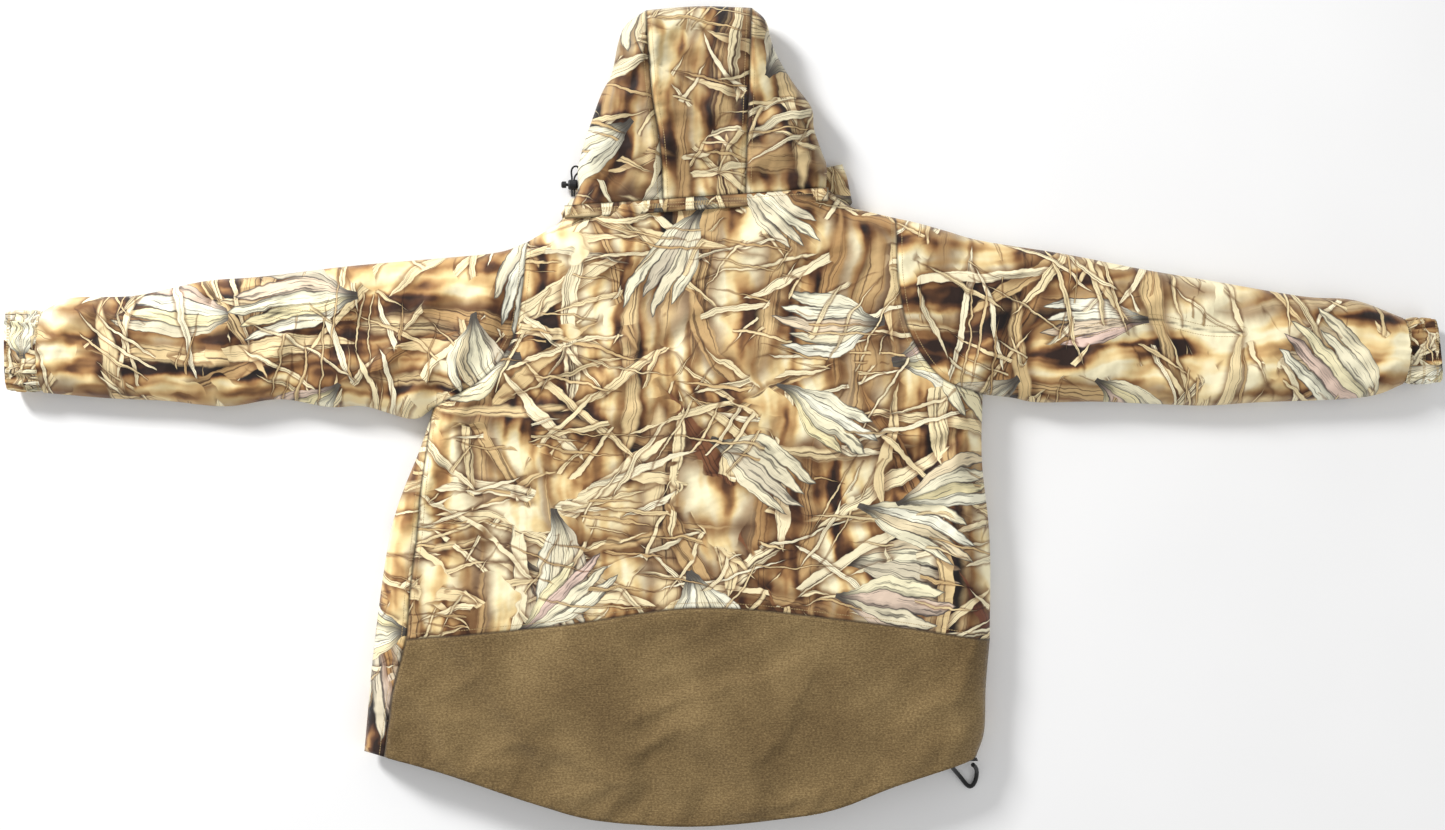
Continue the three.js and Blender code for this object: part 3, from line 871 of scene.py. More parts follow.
def object_place(tree):
    node = tree.nodes.new("ShaderNodeTexCoord")
    return Wire(tree, node.outputs["Object"])


def new_material(name, **fixed):
    """A material and its main shader, with the numbers that are the same all over it."""
    made = bpy.data.materials.new(name)
    made.use_nodes = True
    shader = made.node_tree.nodes["Principled BSDF"]
    for socket, value in fixed.items():
        shader.inputs[socket.replace("_", " ")].default_value = value
    return made, made.node_tree, shader


def finished(made, shader, colours, roughness, height_mm, strength):
    """Gives the material its colours, its roughness and the fine relief of its surface."""
    tree = made.node_tree
    bump = tree.nodes.new("ShaderNodeBump")
    bump.inputs["Strength"].default_value = strength
    bump.inputs["Distance"].default_value = MM
    connect(tree, height_mm, bump.inputs["Height"])
    connect(tree, colours, shader.inputs["Base Color"])
    connect(tree, roughness, shader.inputs["Roughness"])
    tree.links.new(bump.outputs["Normal"], shader.inputs["Normal"])
    return made


LEAF_INPUTS = {"Place": "NodeSocketVector", "Seed": "NodeSocketFloat", "Amount": "NodeSocketFloat",
               "Soft": "NodeSocketFloat"}
LEAF_OUTPUTS = ("Mask", "Shadow", "Tone", "Shade")


def new_leaf_group(name):
    """A node group for one kind of leaf, and the values that come into it."""
    tree = bpy.data.node_groups.new(name, "ShaderNodeTree")
    for label, kind in LEAF_INPUTS.items():
        tree.interface.new_socket(label, in_out="INPUT", socket_type=kind)
    for label in LEAF_OUTPUTS:
        tree.interface.new_socket(label, in_out="OUTPUT", socket_type="NodeSocketFloat")
    start = tree.nodes.new("NodeGroupInput")
    return tree, [Wire(tree, start.outputs[label]) for label in LEAF_INPUTS]


def close_leaf_group(tree, *results):
    """Sends a leaf's mask, shadow, tone and shade out of its group."""
    end = tree.nodes.new("NodeGroupOutput")
    for label, wire in zip(LEAF_OUTPUTS, results):
        connect(tree, wire, end.inputs[label])
    return tree


def make_blade_group():
    """Long tapered leaves, one in each cell of a brickwork of rows. Places are in cells."""
    tree, (place, seed, amount, soft) = new_leaf_group("straw blades")
    x, y, _ = parts_of(place)
    row = y.floor()
    shift, _ = random_of(vector_of(tree, row, seed, 3.0))
    x = x + shift * 7.0
    cell = x.floor()
    along = (x - cell) * 2.0 - 1.0
    chance, picks = random_of(vector_of(tree, cell, row, seed))
    first, second, third = parts_of(picks)
    bend = (first - 0.5) * 0.18 * (along * along - 0.4)
    middle = (second - 0.5) * 0.14 + (third - 0.5) * 0.34 * along + bend
    offset = (y - row) - 0.5 - middle
    reach = third * 0.35 + 0.65
    taper = ((along / reach).size() ** (first * 6.0 + 1.5)).taken_from(1.0)
    half_width = (second * 0.14 + 0.08) * taper
    inside_by = half_width - offset.size()
    exists = chance.less_than(amount)
    across = offset / (half_width + 0.004)
    fibres = texture_noise(placed(place, scale=(0.9, 0.036, 1), shift=(0.3, 0.1, 0)), 1.0, 2.0, 0.6)
    cracks = smooth_ramp(fibres, 0.37, 0.43, 0.40, 1.0)
    fold = smooth_ramp(across.size(), 0.0, 0.14, 0.82, 1.0)
    edge = smooth_ramp(across.size(), 0.70, 1.0, 1.0, 0.42)
    lit = (third - 0.5) * 0.5
    bands = texture_noise(placed(place, scale=(0.45, 0.22, 1), shift=(0.7, 0.4, 0)), 1.0, 1.0)
    shade = ((fibres - 0.5) * 2.4 + (bands - 0.5) * 2.2 + 1.12 + across * lit) * fold * edge * cracks
    mask = smooth_ramp(inside_by, 0.0, soft) * exists
    shadow = smooth_ramp(inside_by, -0.17, 0.02) * exists
    return close_leaf_group(tree, mask, shadow, first, shade)


def make_husk_group():
    """Bundles of long pale husk leaves joined at a dark root, at most one in each cell."""
    tree, (place, seed, amount, soft) = new_leaf_group("husk bundles")
    cell = vector_math("FLOOR", place)
    local = vector_math("FRACTION", place)
    cell_x, cell_y, _ = parts_of(cell)
    chance, picks = random_of(vector_of(tree, cell_x, cell_y, seed))
    first, second, third = parts_of(picks)
    local = vector_math("SUBTRACT", local, (0.5, 0.5, 0))
    turned = tree.nodes.new("ShaderNodeVectorRotate")
    turned.rotation_type = "Z_AXIS"
    connect(tree, local, turned.inputs["Vector"])
    connect(tree, first * 6.283, turned.inputs["Angle"])  # any way round
    x, y, _ = parts_of(Wire(tree, turned.outputs[0]))
    along = x + 0.40
    across = y + (second - 0.5) * 0.5 * x * x
    pitch = smooth_ramp(along, 0.0, 0.34, 0.010, 0.076) + along * 0.022
    ratio = across / pitch + third
    petal = ratio.math("ROUND")
    _, petal_picks = random_of(vector_of(tree, petal + cell_x * 9.0, cell_y, seed + 7.0))
    petal_first, petal_second, _ = parts_of(petal_picks)
    from_middle = (petal - third).size()
    reach = petal_first * 0.20 + 0.66 - from_middle * 0.05
    offset = ratio - petal
    half_width = ((along / reach) ** 7.0).taken_from(1.0) * 0.56
    inside_by = half_width - offset.size()
    is_petal = from_middle.less_than(2.2) * along.math("GREATER_THAN", 0.0)
    exists = chance.less_than(amount) * is_petal
    veins = texture_noise(vector_of(tree, ratio * 7.0 + third * 40.0, along * 4.0), 1.0, 2.0, 0.55)
    cracks = smooth_ramp(veins, 0.33, 0.42, 0.40, 1.0)
    dark_edge = smooth_ramp(inside_by, 0.04, 0.16, 0.08, 1.0)
    root = smooth_ramp(along, 0.04, 0.22, 0.05, 1.0)
    lean = offset * (petal_first - 0.4) * 1.7 + 0.96
    mottle = texture_noise(vector_of(tree, ratio * 1.1 + third * 9.0, along * 5.0), 1.0, 1.0)
    shade = ((veins - 0.5) * 1.5 + (mottle - 0.5) * 1.3 + 1.0) * dark_edge * root * lean * cracks
    mask = smooth_ramp(inside_by, 0.0, soft) * exists
    shadow = smooth_ramp(inside_by, -0.7, 0.0) * exists * smooth_ramp(along, 0.6, 0.9, 1.0, 0.0)
    return close_leaf_group(tree, mask, shadow, petal_second, shade)


STRAW_TINTS = [
    (0.00, (40, 24, 15)), (0.12, (88, 56, 36)), (0.17, (118, 66, 46)), (0.22, (130, 88, 54)),
    (0.32, (176, 134, 84)),
    (0.48, (224, 194, 140)), (0.62, (247, 228, 180)), (0.78, (255, 247, 214)), (1.00, (255, 254, 240)),
]
STRAW_SHADE = (72, 44, 24)
HUSK_TINTS = [
    (0.0, (216, 204, 178)), (0.25, (250, 240, 204)), (0.55, (255, 253, 232)), (0.8, (250, 236, 184)),
    (0.93, (226, 204, 180)), (1.0, (236, 206, 190)),
]
HUSK_SHADE = (58, 52, 50)
# Angle in degrees, cell length and row height in metres, share of cells filled, darkest and
# palest place on the straw colours, softness of the edge: the deepest layer comes first.
BLADE_LAYERS = [
    (87, 0.36, 0.120, 0.62, 0.32, 0.80, 0.15), (-22, 0.34, 0.120, 0.36, 0.24, 0.86, 0.13),
    (84, 0.30, 0.080, 0.42, 0.34, 0.92, 0.09), (5, 0.30, 0.090, 0.34, 0.45, 0.95, 0.07),
    (-64, 0.26, 0.075, 0.40, 0.14, 0.96, 0.03), (31, 0.25, 0.058, 0.46, 0.48, 1.00, 0.02),
    (-12, 0.28, 0.050, 0.50, 0.52, 1.00, 0.02), (89, 0.24, 0.066, 0.46, 0.48, 1.00, 0.02),
    (-44, 0.22, 0.034, 0.46, 0.55, 1.00, 0.03), (14, 0.20, 0.024, 0.46, 0.58, 1.00, 0.04),
    (56, 0.17, 0.017, 0.36, 0.55, 1.00, 0.06), (-8, 0.16, 0.012, 0.34, 0.40, 1.00, 0.08),
]
PRINT_SHADOW = (0.27, 0.15, 0.085)  # what a leaf's shadow leaves of each colour below it
SHARP_FROM = 4  # the first layer that lies in clusters, in front of the blur
# After which layer of blades they lie: cell size in metres, seed, share of cells, turn in degrees.
HUSK_LAYERS = {3: (0.20, 21.0, 0.46, 33), 9: (0.205, 22.0, 0.60, -20), 10: (0.18, 28.0, 0.30, 61)}


def layer_over(under, group, place, seed, amount, tints, shadow_tint, low, high, soft, dimming,
               where=1.0):
    """Lays one layer of leaves with soft shadows over the colours beneath, where it is let."""
    tree = place.tree
    node = tree.nodes.new("ShaderNodeGroup")
    node.node_tree = group
    connect(tree, place, node.inputs["Place"])
    node.inputs["Seed"].default_value = seed
    node.inputs["Amount"].default_value = amount
    node.inputs["Soft"].default_value = soft
    mask, shadow, tone, shade = (Wire(tree, out) for out in node.outputs)
    leaf = colour_ramp(tone * (high - low) + low, tints)
    leaf = colour_mix(shade, rgb(shadow_tint), leaf)
    in_shadow = vector_math("MULTIPLY", under, PRINT_SHADOW)
    darker = colour_mix(shadow * where * dimming, under, in_shadow)
    return colour_mix(mask * where, darker, leaf)


def print_colours(place, depth):
    """Dry stalks, leaves and husks, sharp in front and blurred behind; depth is painted shade that darkens
    the whole print evenly.
    """
    bent = place
    for scale, reach in ((6.0, 0.045), (34.0, 0.009), (120.0, 0.0022)):
        drift = texture_noise(place, scale, 1.0, colour=True)
        drift = vector_math("SUBTRACT", drift, (0.5, 0.5, 0.5))
        bent = vector_math("ADD", bent, vector_math("SCALE", drift, scale=reach))
    columns = texture_noise(placed(bent, scale=(0.030, 0.30, 1)), 1.0, 2.0, 0.5)
    blots = texture_noise(placed(bent, 25, (0.045, 0.075, 1), (4, 2, 0)), 1.0, 2.0, 0.5)
    patches = texture_noise(placed(place, scale=(0.18, 0.18, 1), shift=(1, 7, 0)), 1.0, 1.0)
    colours = colour_ramp(columns * 1.0 + blots * 0.72 + patches * 0.45 - 0.545, [
        (0.28, (44, 26, 18)), (0.36, (100, 64, 38)), (0.43, (166, 122, 74)), (0.51, (214, 176, 118)),
        (0.59, (240, 214, 156)), (0.72, (255, 244, 204)),
    ])
    crowd = texture_noise(placed(bent, 20, (0.115, 0.080, 1), (2, 5, 0)), 1.0, 2.0, 0.5)
    for count, (angle, length, width, amount, low, high, soft) in enumerate(BLADE_LAYERS):
        where = placed(bent, angle, (length, width, 1), (0.13 * count, 0.07 * count, 0))
        seed = 3.0 + count
        let = 1.0
        if count >= SHARP_FROM:
            edge = 0.40 + 0.012 * (count - SHARP_FROM)
            let = smooth_ramp(crowd, edge, edge + 0.012)
        colours = layer_over(colours, BLADES, where, seed, amount, STRAW_TINTS, STRAW_SHADE,
                             low, high, soft, 0.78, let)
        if count in HUSK_LAYERS:
            size, seed, share, turn = HUSK_LAYERS[count]
            where = placed(bent, turn, (size, size, 1), (0.05 * count, 0.11, 0))
            colours = layer_over(colours, HUSKS, where, seed, share, HUSK_TINTS, HUSK_SHADE,
                                 0.0, 1.0, 0.05, 0.6)
    # Painted shade: depth darkens every colour of the print by the same share.
    return vector_math("SCALE", colours, scale=1.0 - depth)


STITCH_ROW = 0.0062  # from the seam, in metres
STITCH_PITCH = 0.0032


def sewn(tree, colours, thread_tint):
    """Adds the seam's shadow line and its rows of stitches; also gives where thread and row are."""
    away = attribute(tree, "seam_distance")
    place = attribute(tree, "seam_place")
    in_row = smooth_ramp((away - STITCH_ROW).size(), 0.0003, 0.0007, 1.0, 0.0)
    dash = smooth_ramp(((place / STITCH_PITCH).fraction() - 0.5).size(), 0.34, 0.40, 1.0, 0.0)
    thread = in_row * dash
    dip = smooth_ramp(away, 0.0004, 0.0028, 0.62, 0.0)
    colours = colour_mix(dip, colours, rgb((40, 28, 18)))
    return colour_mix(thread * 0.7, colours, rgb(thread_tint)), thread, in_row


def weave_height(place, threads_per_metre):
    """Plain weave: over and under, thread by thread."""
    x, y, _ = parts_of(place)
    turn = 2 * math.pi * threads_per_metre
    return (x * turn).math("SINE") * (y * turn).math("SINE")


BLADES = make_blade_group()
HUSKS = make_husk_group()


def make_print(name, depth):
    made, tree, shader = new_material(name, Sheen_Weight=0.12, Sheen_Roughness=0.5,
                                      Specular_IOR_Level=0.3)
    place = attribute(tree, "cut", vector=True)
    colours = print_colours(place, depth)
    colours, thread, row = sewn(tree, colours, (176, 150, 104))
    worn = texture_noise(place, 30.0, 2.0)
    crinkle = texture_noise(placed(place, 20, (1, 0.6, 1)), 26.0, 2.0, 0.55)
    height = crinkle * 3.0 + weave_height(place, 900.0) * 0.03 + thread * 0.25 - row * 0.25
    return finished(made, shader, colours, worn * 0.16 + 0.62, height, 0.8)


def make_tail_cloth():
    made, tree, shader = new_material("tail_cloth", Sheen_Weight=0.15, Sheen_Roughness=0.5,
                                      Specular_IOR_Level=0.25)
    place = attribute(tree, "cut", vector=True)
    broad = texture_noise(place, 9.0, 2.0)
    grain = texture_noise(placed(place, scale=(1, 0.6, 1)), 330.0, 3.0, 0.75)
    slub = texture_noise(placed(place, scale=(0.02, 0.0012, 1)), 1.0, 1.0)
    shade = broad * 0.25 + grain * 0.6 + slub * 0.15
    colours = colour_ramp(shade, [(0.36, (90, 70, 41)), (0.50, (121, 99, 63)), (0.64, (150, 127, 86))])
    colours, thread, row = sewn(tree, colours, (104, 84, 54))
    crinkle = texture_noise(placed(place, -65, (1, 0.45, 1)), 9.0, 2.0, 0.5)
    height = crinkle * 5.0 + weave_height(place, 700.0) * 0.05 + grain * 0.12 + thread * 0.25 - row * 0.25
    return finished(made, shader, colours, grain * 0.12 + 0.74, height, 0.9)


def make_plain_cloth(name, tints, threads, coarse, roughness, sheen):
    """Woven cloth of one dye lot: threads a little lighter and darker, soft creases."""
    made, tree, shader = new_material(name, Sheen_Weight=sheen, Specular_IOR_Level=0.25)
    place = object_place(tree)
    grain = texture_noise(place, coarse, 2.0, 0.65, flat=False)
    colours = colour_ramp(grain, [(0.3, tints[0]), (0.7, tints[1])])
    crinkle = texture_noise(place, 30.0, 2.0, flat=False)
    height = crinkle * 1.5 + grain * 0.2 + weave_height(place, threads) * 0.05
    return finished(made, shader, colours, grain * 0.2 + roughness, height, 0.5)


def make_black_cord():
    made, tree, shader = new_material("black_cord", Sheen_Weight=0.2, Specular_IOR_Level=0.35)
    place = object_place(tree)
    x, y, z = parts_of(place)
    strands = ((x + y + z) * 3200.0).math("SINE") * ((x - y + z) * 3200.0).math("SINE")
    fleck = texture_noise(place, 900.0, 1.0, flat=False)
    colours = colour_ramp(fleck, [(0.3, (16, 16, 17)), (0.7, (44, 44, 46))])
    return finished(made, shader, colours, fleck * 0.2 + 0.6, strands * 0.18, 0.8)


def make_black_plastic():
    made, tree, shader = new_material("black_plastic", Specular_IOR_Level=0.45)
    place = object_place(tree)
    grain = texture_noise(place, 1400.0, 2.0, flat=False)
    scuffs = texture_noise(place, 160.0, 3.0, flat=False)
    colours = colour_ramp(scuffs, [(0.35, (18, 18, 19)), (0.75, (40, 40, 42))])
    return finished(made, shader, colours, scuffs * 0.25 + 0.32, grain * 0.06, 0.7)


def make_brass():
    made, tree, shader = new_material("brass", Metallic=1.0)
    place = object_place(tree)
    tarnish = texture_noise(place, 120.0, 3.0, 0.6, flat=False)
    brushed = texture_noise(placed(place, scale=(0.004, 0.0004, 0.004)), 1.0, 2.0, flat=False)
    colours = colour_ramp(tarnish, [(0.35, (96, 76, 46)), (0.7, (168, 140, 88))])
    return finished(made, shader, colours, tarnish * 0.3 + brushed * 0.1 + 0.2, brushed * 0.05, 0.5)


PRINT = make_print("print", 0.0)
# The hood's print is the same print made darker by 0.20: painted shade.
HOOD_PRINT_WITH_PAINTED_SHADE = make_print("hood_print_painted_shade", 0.20)
TAIL_CLOTH = make_tail_cloth()
LINING = make_plain_cloth("lining", ((52, 38, 28), (84, 64, 48)), 800.0, 500.0, 0.6, 0.25)
TAPE = make_plain_cloth("tape", ((26, 25, 25), (52, 50, 48)), 1100.0, 700.0, 0.65, 0.1)
KNIT = make_plain_cloth("knit", ((30, 24, 20), (60, 50, 42)), 600.0, 600.0, 0.75, 0.3)
BLACK_CORD = make_black_cord()
BLACK_PLASTIC = make_black_plastic()
BRASS = make_brass()
FINISHES = {
    "print": PRINT, "tail_cloth": TAIL_CLOTH, "lining": LINING, "tape": TAPE, "knit": KNIT,
    "black_cord": BLACK_CORD, "black_plastic": BLACK_PLASTIC, "brass": BRASS,
}


# ---------------------------------------------------------------- the jacket's cloth
def stands_for(piece, body, slot, *nodes):
    """Says which CAD body a piece moves with and which nodes it shows; its slot, the finish, is not used."""
    if isinstance(body, str):
        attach(piece, body)
    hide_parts(*nodes)
    return piece


def flat_size(outline):
    """The width and length that a piece was cut to, and its area, in metres."""
    low = outline.min(axis=0) * MM
    high = outline.max(axis=0) * MM
    x, y = outline.T * MM
    area = abs(np.dot(x, np.roll(y, -1)) - np.dot(y, np.roll(x, -1))) / 2
    return (float(high[0] - low[0]), float(high[1] - low[1])), float(area)


def declare_sheet(outline, sides=1):
    flat, area = flat_size(outline)
    if sides == 2:
        flat = (flat[0], flat[1] * 2)


back_outline = joined(
    NECK, SHOULDER["right"], ARMHOLE["right"], SIDE_RIGHT_UPPER, TAIL_TOP[::-1],
    SEAM_UPPER[::-1], ARMHOLE["left"][::-1], SHOULDER["left"][::-1])
back = cloth("back", [Sheet(back_outline, top_height)], PRINT)
stands_for(back, "torso", "print", "back_panel")
declare_sheet(back_outline)

tail_outline = joined(TAIL_TOP, SIDE_RIGHT_LOWER, HEM[::-1], SEAM_LOWER[::-1])
tail = cloth("drop_tail_cloth", [Sheet(tail_outline, top_height)], TAIL_CLOTH, thickness=1.4)
stands_for(tail, "torso", "tail_cloth", "drop_tail")
declare_sheet(tail_outline)

side_outline = joined(SIDE_LEFT, [(-424, -428)], SEAM_LOWER[::-1], SEAM_UPPER[::-1])
side_print = {"print_shift": (1.3, 0.6), "print_turn": 4}
left_side = cloth("left_side", [Sheet(side_outline, top_height, **side_print)], PRINT, thickness=1.4)
stands_for(left_side, "torso", "print", "left_side_panel")
declare_sheet(side_outline)
band_low = straight([(-197, hood_line_y(-197) - 17), (132, hood_line_y(132) - 17)])
band_high = straight([(-197, hood_line_y(-197)), (132, hood_line_y(132))])
band_outline = joined(band_low, band_high[::-1])
band = cloth(
    "neck_band_cloth",
    [Sheet(band_outline, lambda points: 50.2 + 0.4 * folds(*points.T, 80, 60, 30, 41), 1, (0.4, 1.7), 90)],
    PRINT, seams=[band_low, band_high], groove=0.9, thickness=1.6)
stands_for(band, "torso", "print", "neck_band")
declare_sheet(band_outline)

# ---- fronts, on the underside, with a recess for each cargo pocket ----
ZIP_EDGE = {"left": -38, "right": -2}
POCKET_MIDDLE = {"left": -215, "right": 170}
POCKET_HALF = 84
POCKET_TOP_Y = -152
POCKET_BOTTOM_Y = -328
FRONT_TOP_Y = 258
POCKET_BED = 13.4  # how high the front's cloth is behind a pocket
ZIP_BED = 9.0  # and where it is turned in at the zip


def front_height(points):
    """The underside, raised at the pockets and turned in at the zip."""
    x, y = points.T
    height = under_height(points)
    for middle in POCKET_MIDDLE.values():
        beside = np.abs(x - middle) - POCKET_HALF
        above = np.maximum(y - (POCKET_TOP_Y + 20), POCKET_BOTTOM_Y - y)
        outside = np.maximum(beside, above)
        height = height + (POCKET_BED - height) * (1 - ramp(outside, 2, 16))
    turned = 1 - ramp(np.minimum(np.abs(x - ZIP_EDGE["left"]), np.abs(x - ZIP_EDGE["right"])), 0, 7)
    return height + (ZIP_BED - height) * turned


front_outlines = {
    "left": joined(
        straight([(-38, FRONT_HEM_Y), (-38, FRONT_TOP_Y), (-209, 241)]), SHOULDER["left"],
        ARMHOLE["left"], SIDE_LEFT, straight([(-453, -425), (-38, FRONT_HEM_Y)])),
    "right": joined(
        straight([(-2, FRONT_HEM_Y), (-2, FRONT_TOP_Y), (150, FRONT_TOP_Y), (167, 261)]),
        SHOULDER["right"], ARMHOLE["right"], SIDE_RIGHT_UPPER, SIDE_RIGHT_LOWER,
        straight([(321, -431), (-2, FRONT_HEM_Y)])),
}
front_seams = {
    side: [
        ARMHOLE[side],
        straight([(ZIP_EDGE[side] + OUTWARD[side] * 9, FRONT_HEM_Y),
                  (ZIP_EDGE[side] + OUTWARD[side] * 9, FRONT_TOP_Y)]),
        straight([(-440, FRONT_HEM_Y + 22), (320, FRONT_HEM_Y + 22)]),
    ]
    for side in ("left", "right")
}
FRONT_PRINT = {"left": ((2.1, 0.4), 0), "right": ((2.9, 1.1), 3)}
for side, outline in front_outlines.items():
    shift, turn = FRONT_PRINT[side]
    front = cloth(
        f"{side}_front", [Sheet(outline, front_height, -1, shift, turn)], PRINT,
        seams=front_seams[side], groove=0.8, thickness=1.4)
    replaced = ["left_front_panel"] if side == "left" else ["right_front_panel", "right_side_panel"]
    stands_for(front, "torso", "print", *replaced)
    declare_sheet(outline)

# ---- collar halves, folded flat under the hood ----
COLLARS = {
    "left": straight([(-38, 262), (-38, 320), (-150, 320), (-172, 284), (-192, 274), (-211, 247),
                      (-203, 249), (-38, 262)], 6),
    "right": straight([(-2, 262), (-2, 320), (110, 320), (132, 314), (152, 318), (158, 301),
                       (162, 282), (166, 263), (-2, 262)], 6),
}


COLLAR_MIDDLE = 7.2
COLLAR_HALF = 5.4  # how far each face puffs out from the middle
COLLAR_PRINT = {"left": (0.7, 2.3), "right": (1.6, 2.2)}


def collar_height(outline, facing):
    """The folded stand collar: a soft double edge, puffed in the middle."""
    def height(points):
        away = edge_distance(points, outline)
        x, y = points.T
        puff = COLLAR_HALF * rounded(away, 9)
        puff = puff + 0.5 * ramp(away, 2, 10) * folds(x, y, 15, 60, 22, 51)
        return COLLAR_MIDDLE + facing * puff
    return height


for side, line in COLLARS.items():
    outline = joined(line)
    sheets = [Sheet(outline, collar_height(outline, facing), facing, COLLAR_PRINT[side], turn, 6)
              for facing, turn in ((1, 90), (-1, 88))]
    collar = cloth(f"{side}_collar", sheets, PRINT, seams=[straight([(-200, 300), (160, 305)])],
                   groove=0.5)
    stands_for(collar, "torso", "print", f"collar_{side}")

# ---- sleeves: a cap at the shoulder and a lower part through the elbow ----
SLEEVE_PRINT = {"left": ((3.2, 0.9), 90), "right": ((3.9, 1.9), 86)}
ELBOW_SEAM = {
    "left": smooth([(-573, 129), (-520, 124), (-463, 125)]),
    "right": smooth([(454, 104), (504, 116), (544, 119), (604, 106), (652, 104)]),
}


def blend_across(piece, place, direction):
    """Bakes the piece's placement into its mesh; it bends nothing, and the place is not used."""
    way = Vector(direction).normalized()
    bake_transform(piece)


def bend_at_shoulder(piece, side):
    """Gives blend_across the direction square to the shoulder's fold line; the piece is not bent."""
    (x0, y0), (x1, y1) = FOLD[side]
    away = Vector((y1 - y0, x0 - x1, 0)).normalized()
    away = away if away.x * OUTWARD[side] > 0 else -away
    blend_across(piece, (x0 * MM, y0 * MM, 0.02), away)


def bend_at_elbow(piece, side):
    blend_across(piece, (ELBOW_X[side] * MM, 0.1, 0.02),
                 (OUTWARD[side], 0, 0))


def bend_at_neck(piece):
    blend_across(piece, (-0.03, hood_line_y(-30) * MM, 0.05), (-22, 320, 0))


def sleeve_lines(side):
    """The sleeve's top and bottom lines: above the elbow's split, then below it."""
    top_inner, top_outer = split_at(SLEEVE_TOP[side], SPLIT_X[side])
    low_inner, low_outer = split_at(SLEEVE_BOTTOM[side], SPLIT_X[side])
    return top_inner, low_inner, top_outer, low_outer


def sleeve_cloth(side, part, outline):
    """One part of a sleeve, with its top and its underside in one piece."""
    (along, across), turn = SLEEVE_PRINT[side]
    sheets = [Sheet(outline, top_height, 1, (along, across), turn),
              Sheet(outline, under_height, -1, (along, across + 0.5), turn)]
    return cloth(f"{side}_sleeve_{part}", sheets, PRINT, seams=[ARMHOLE[side], ELBOW_SEAM[side]])


for side in ("left", "right"):
    top_inner, low_inner, top_outer, low_outer = sleeve_lines(side)
    split = straight([top_inner[-1], low_inner[-1]])
    end = straight([top_outer[-1], low_outer[-1]])
    upper_outline = joined(top_inner, split, low_inner[::-1], ARMHOLE[side][::-1])
    upper = sleeve_cloth(side, "upper", upper_outline)
    lower_outline = joined(top_outer, end, low_outer[::-1], split[::-1])
    lower = sleeve_cloth(side, "lower", lower_outline)
    bend_at_shoulder(upper, side)
    bend_at_elbow(lower, side)
    stands_for(upper, None, "print", f"{side}_sleeve_head", f"{side}_upper_sleeve")
    stands_for(lower, None, "print", f"{side}_forearm")
    declare_sheet(upper_outline, sides=2)
    declare_sheet(lower_outline, sides=2)

# ---- cuffs: elastic gathers the cloth; a ribbed storm cuff sits inside ----
CUFFS = {
    "left": {"x": (-857.5, -901), "middle": 80.5, "half": 52, "storm": (-860, -899), "lean": 0.02},
    "right": {"x": (859.5, 901), "middle": 81, "half": 42, "storm": (862, 899), "lean": -0.16},
}
CUFF_TOP = 40.0


CUFF_STITCHES = (0.08, 0.5, 0.9)  # shares of the cuff's length where elastic is sewn


def rounded_square(turn, power):
    """Across and up, from -1 to 1, on a circle drawn out towards its corners."""
    across, up = math.cos(turn), math.sin(turn)
    return math.copysign(abs(across) ** power, across), math.copysign(abs(up) ** power, up)


def flat_tube(name, material, stations, around, place):
    """A tube whose rings are given by a function of how far along and how far round."""
    vertices = [place(s, 2 * math.pi * a / around) for s in stations for a in range(around)]
    faces = []
    for ring in range(len(stations) - 1):
        for a in range(around):
            here = ring * around + a
            after = ring * around + (a + 1) % around
            faces.append([here, after, after + around, here + around])
    return new_object(name, [tuple(c * MM for c in v) for v in vertices], faces, material)


def gathered_cuff(side):
    cuff = CUFFS[side]
    x0, x1 = cuff["x"]
    middle, half = cuff["middle"], cuff["half"]

    def place(share, turn):
        turned_in = max(0.0, share - 1)
        s = min(share, 1)
        wide, high = rounded_square(turn, 0.62)
        girth = half * math.pi * (turn / (2 * math.pi))
        depth = 2.4 * math.sin(s * math.pi) ** 0.5 + 0.6
        pleat = math.sin(girth / 3.1 + 2.2 * math.sin(turn * 5 + s * 2) + 0.8 * math.sin(turn * 13))
        channel = -1.3 * sum(math.exp(-((s - spot) / 0.05) ** 2) for spot in CUFF_STITCHES)
        out = depth * pleat + channel - 2.4 - 4.2 * turned_in
        reach_y = half + out
        reach_z = CUFF_TOP / 2 - 1.5 + out * 0.55 - 2 * turned_in
        slant = 0.6 * cuff["lean"] * reach_y * wide * s ** 2
        x = x0 + (x1 - x0) * s * (1 - 1.1 * max(0.0, turned_in - 0.3))
        return (x + OUTWARD[side] * slant, middle + reach_y * wide, CUFF_TOP / 2 + reach_z * high)

    stations = [i / 16 for i in range(17)] + [1.25, 1.5, 1.9]
    made = flat_tube(f"{side}_cuff_cloth", PRINT, stations, 220, place)
    spots = positions(made)
    cut = np.column_stack([spots[:, 1] * 2.2 + 4.6, spots[:, 0] * 1.4 + spots[:, 2] * 2, spots[:, 2] * 0])
    add_attribute(made.data, "cut", cut)
    x = np.abs(spots[:, 0] / MM)
    lines = [abs(x0 + (x1 - x0) * spot) for spot in CUFF_STITCHES]
    away = np.min([np.abs(x - line) for line in lines], axis=0)
    add_attribute(made.data, "seam_distance", (away + 5.0) * MM)
    add_attribute(made.data, "seam_place", spots[:, 1] + spots[:, 2])
    return made


def ribbed_cuff(side):
    cuff = CUFFS[side]
    x0, x1 = cuff["storm"]

    def place(share, turn):
        inner = share > 1
        s = 2 - share if inner else share
        wide, high = rounded_square(turn, 0.6)
        rib = 0.5 * math.sin(turn * 70)
        out = rib - (3.2 if inner else 0.0) - 6.2
        return (x0 + (x1 - x0) * s, cuff["middle"] + (cuff["half"] + out) * wide,
                CUFF_TOP / 2 + (CUFF_TOP / 2 + out) * high)

    stations = [i / 8 for i in range(9)] + [1.001] + [1 + i / 8 for i in range(1, 9)]
    return flat_tube(f"{side}_ribbed_cuff", KNIT, stations, 280, place)


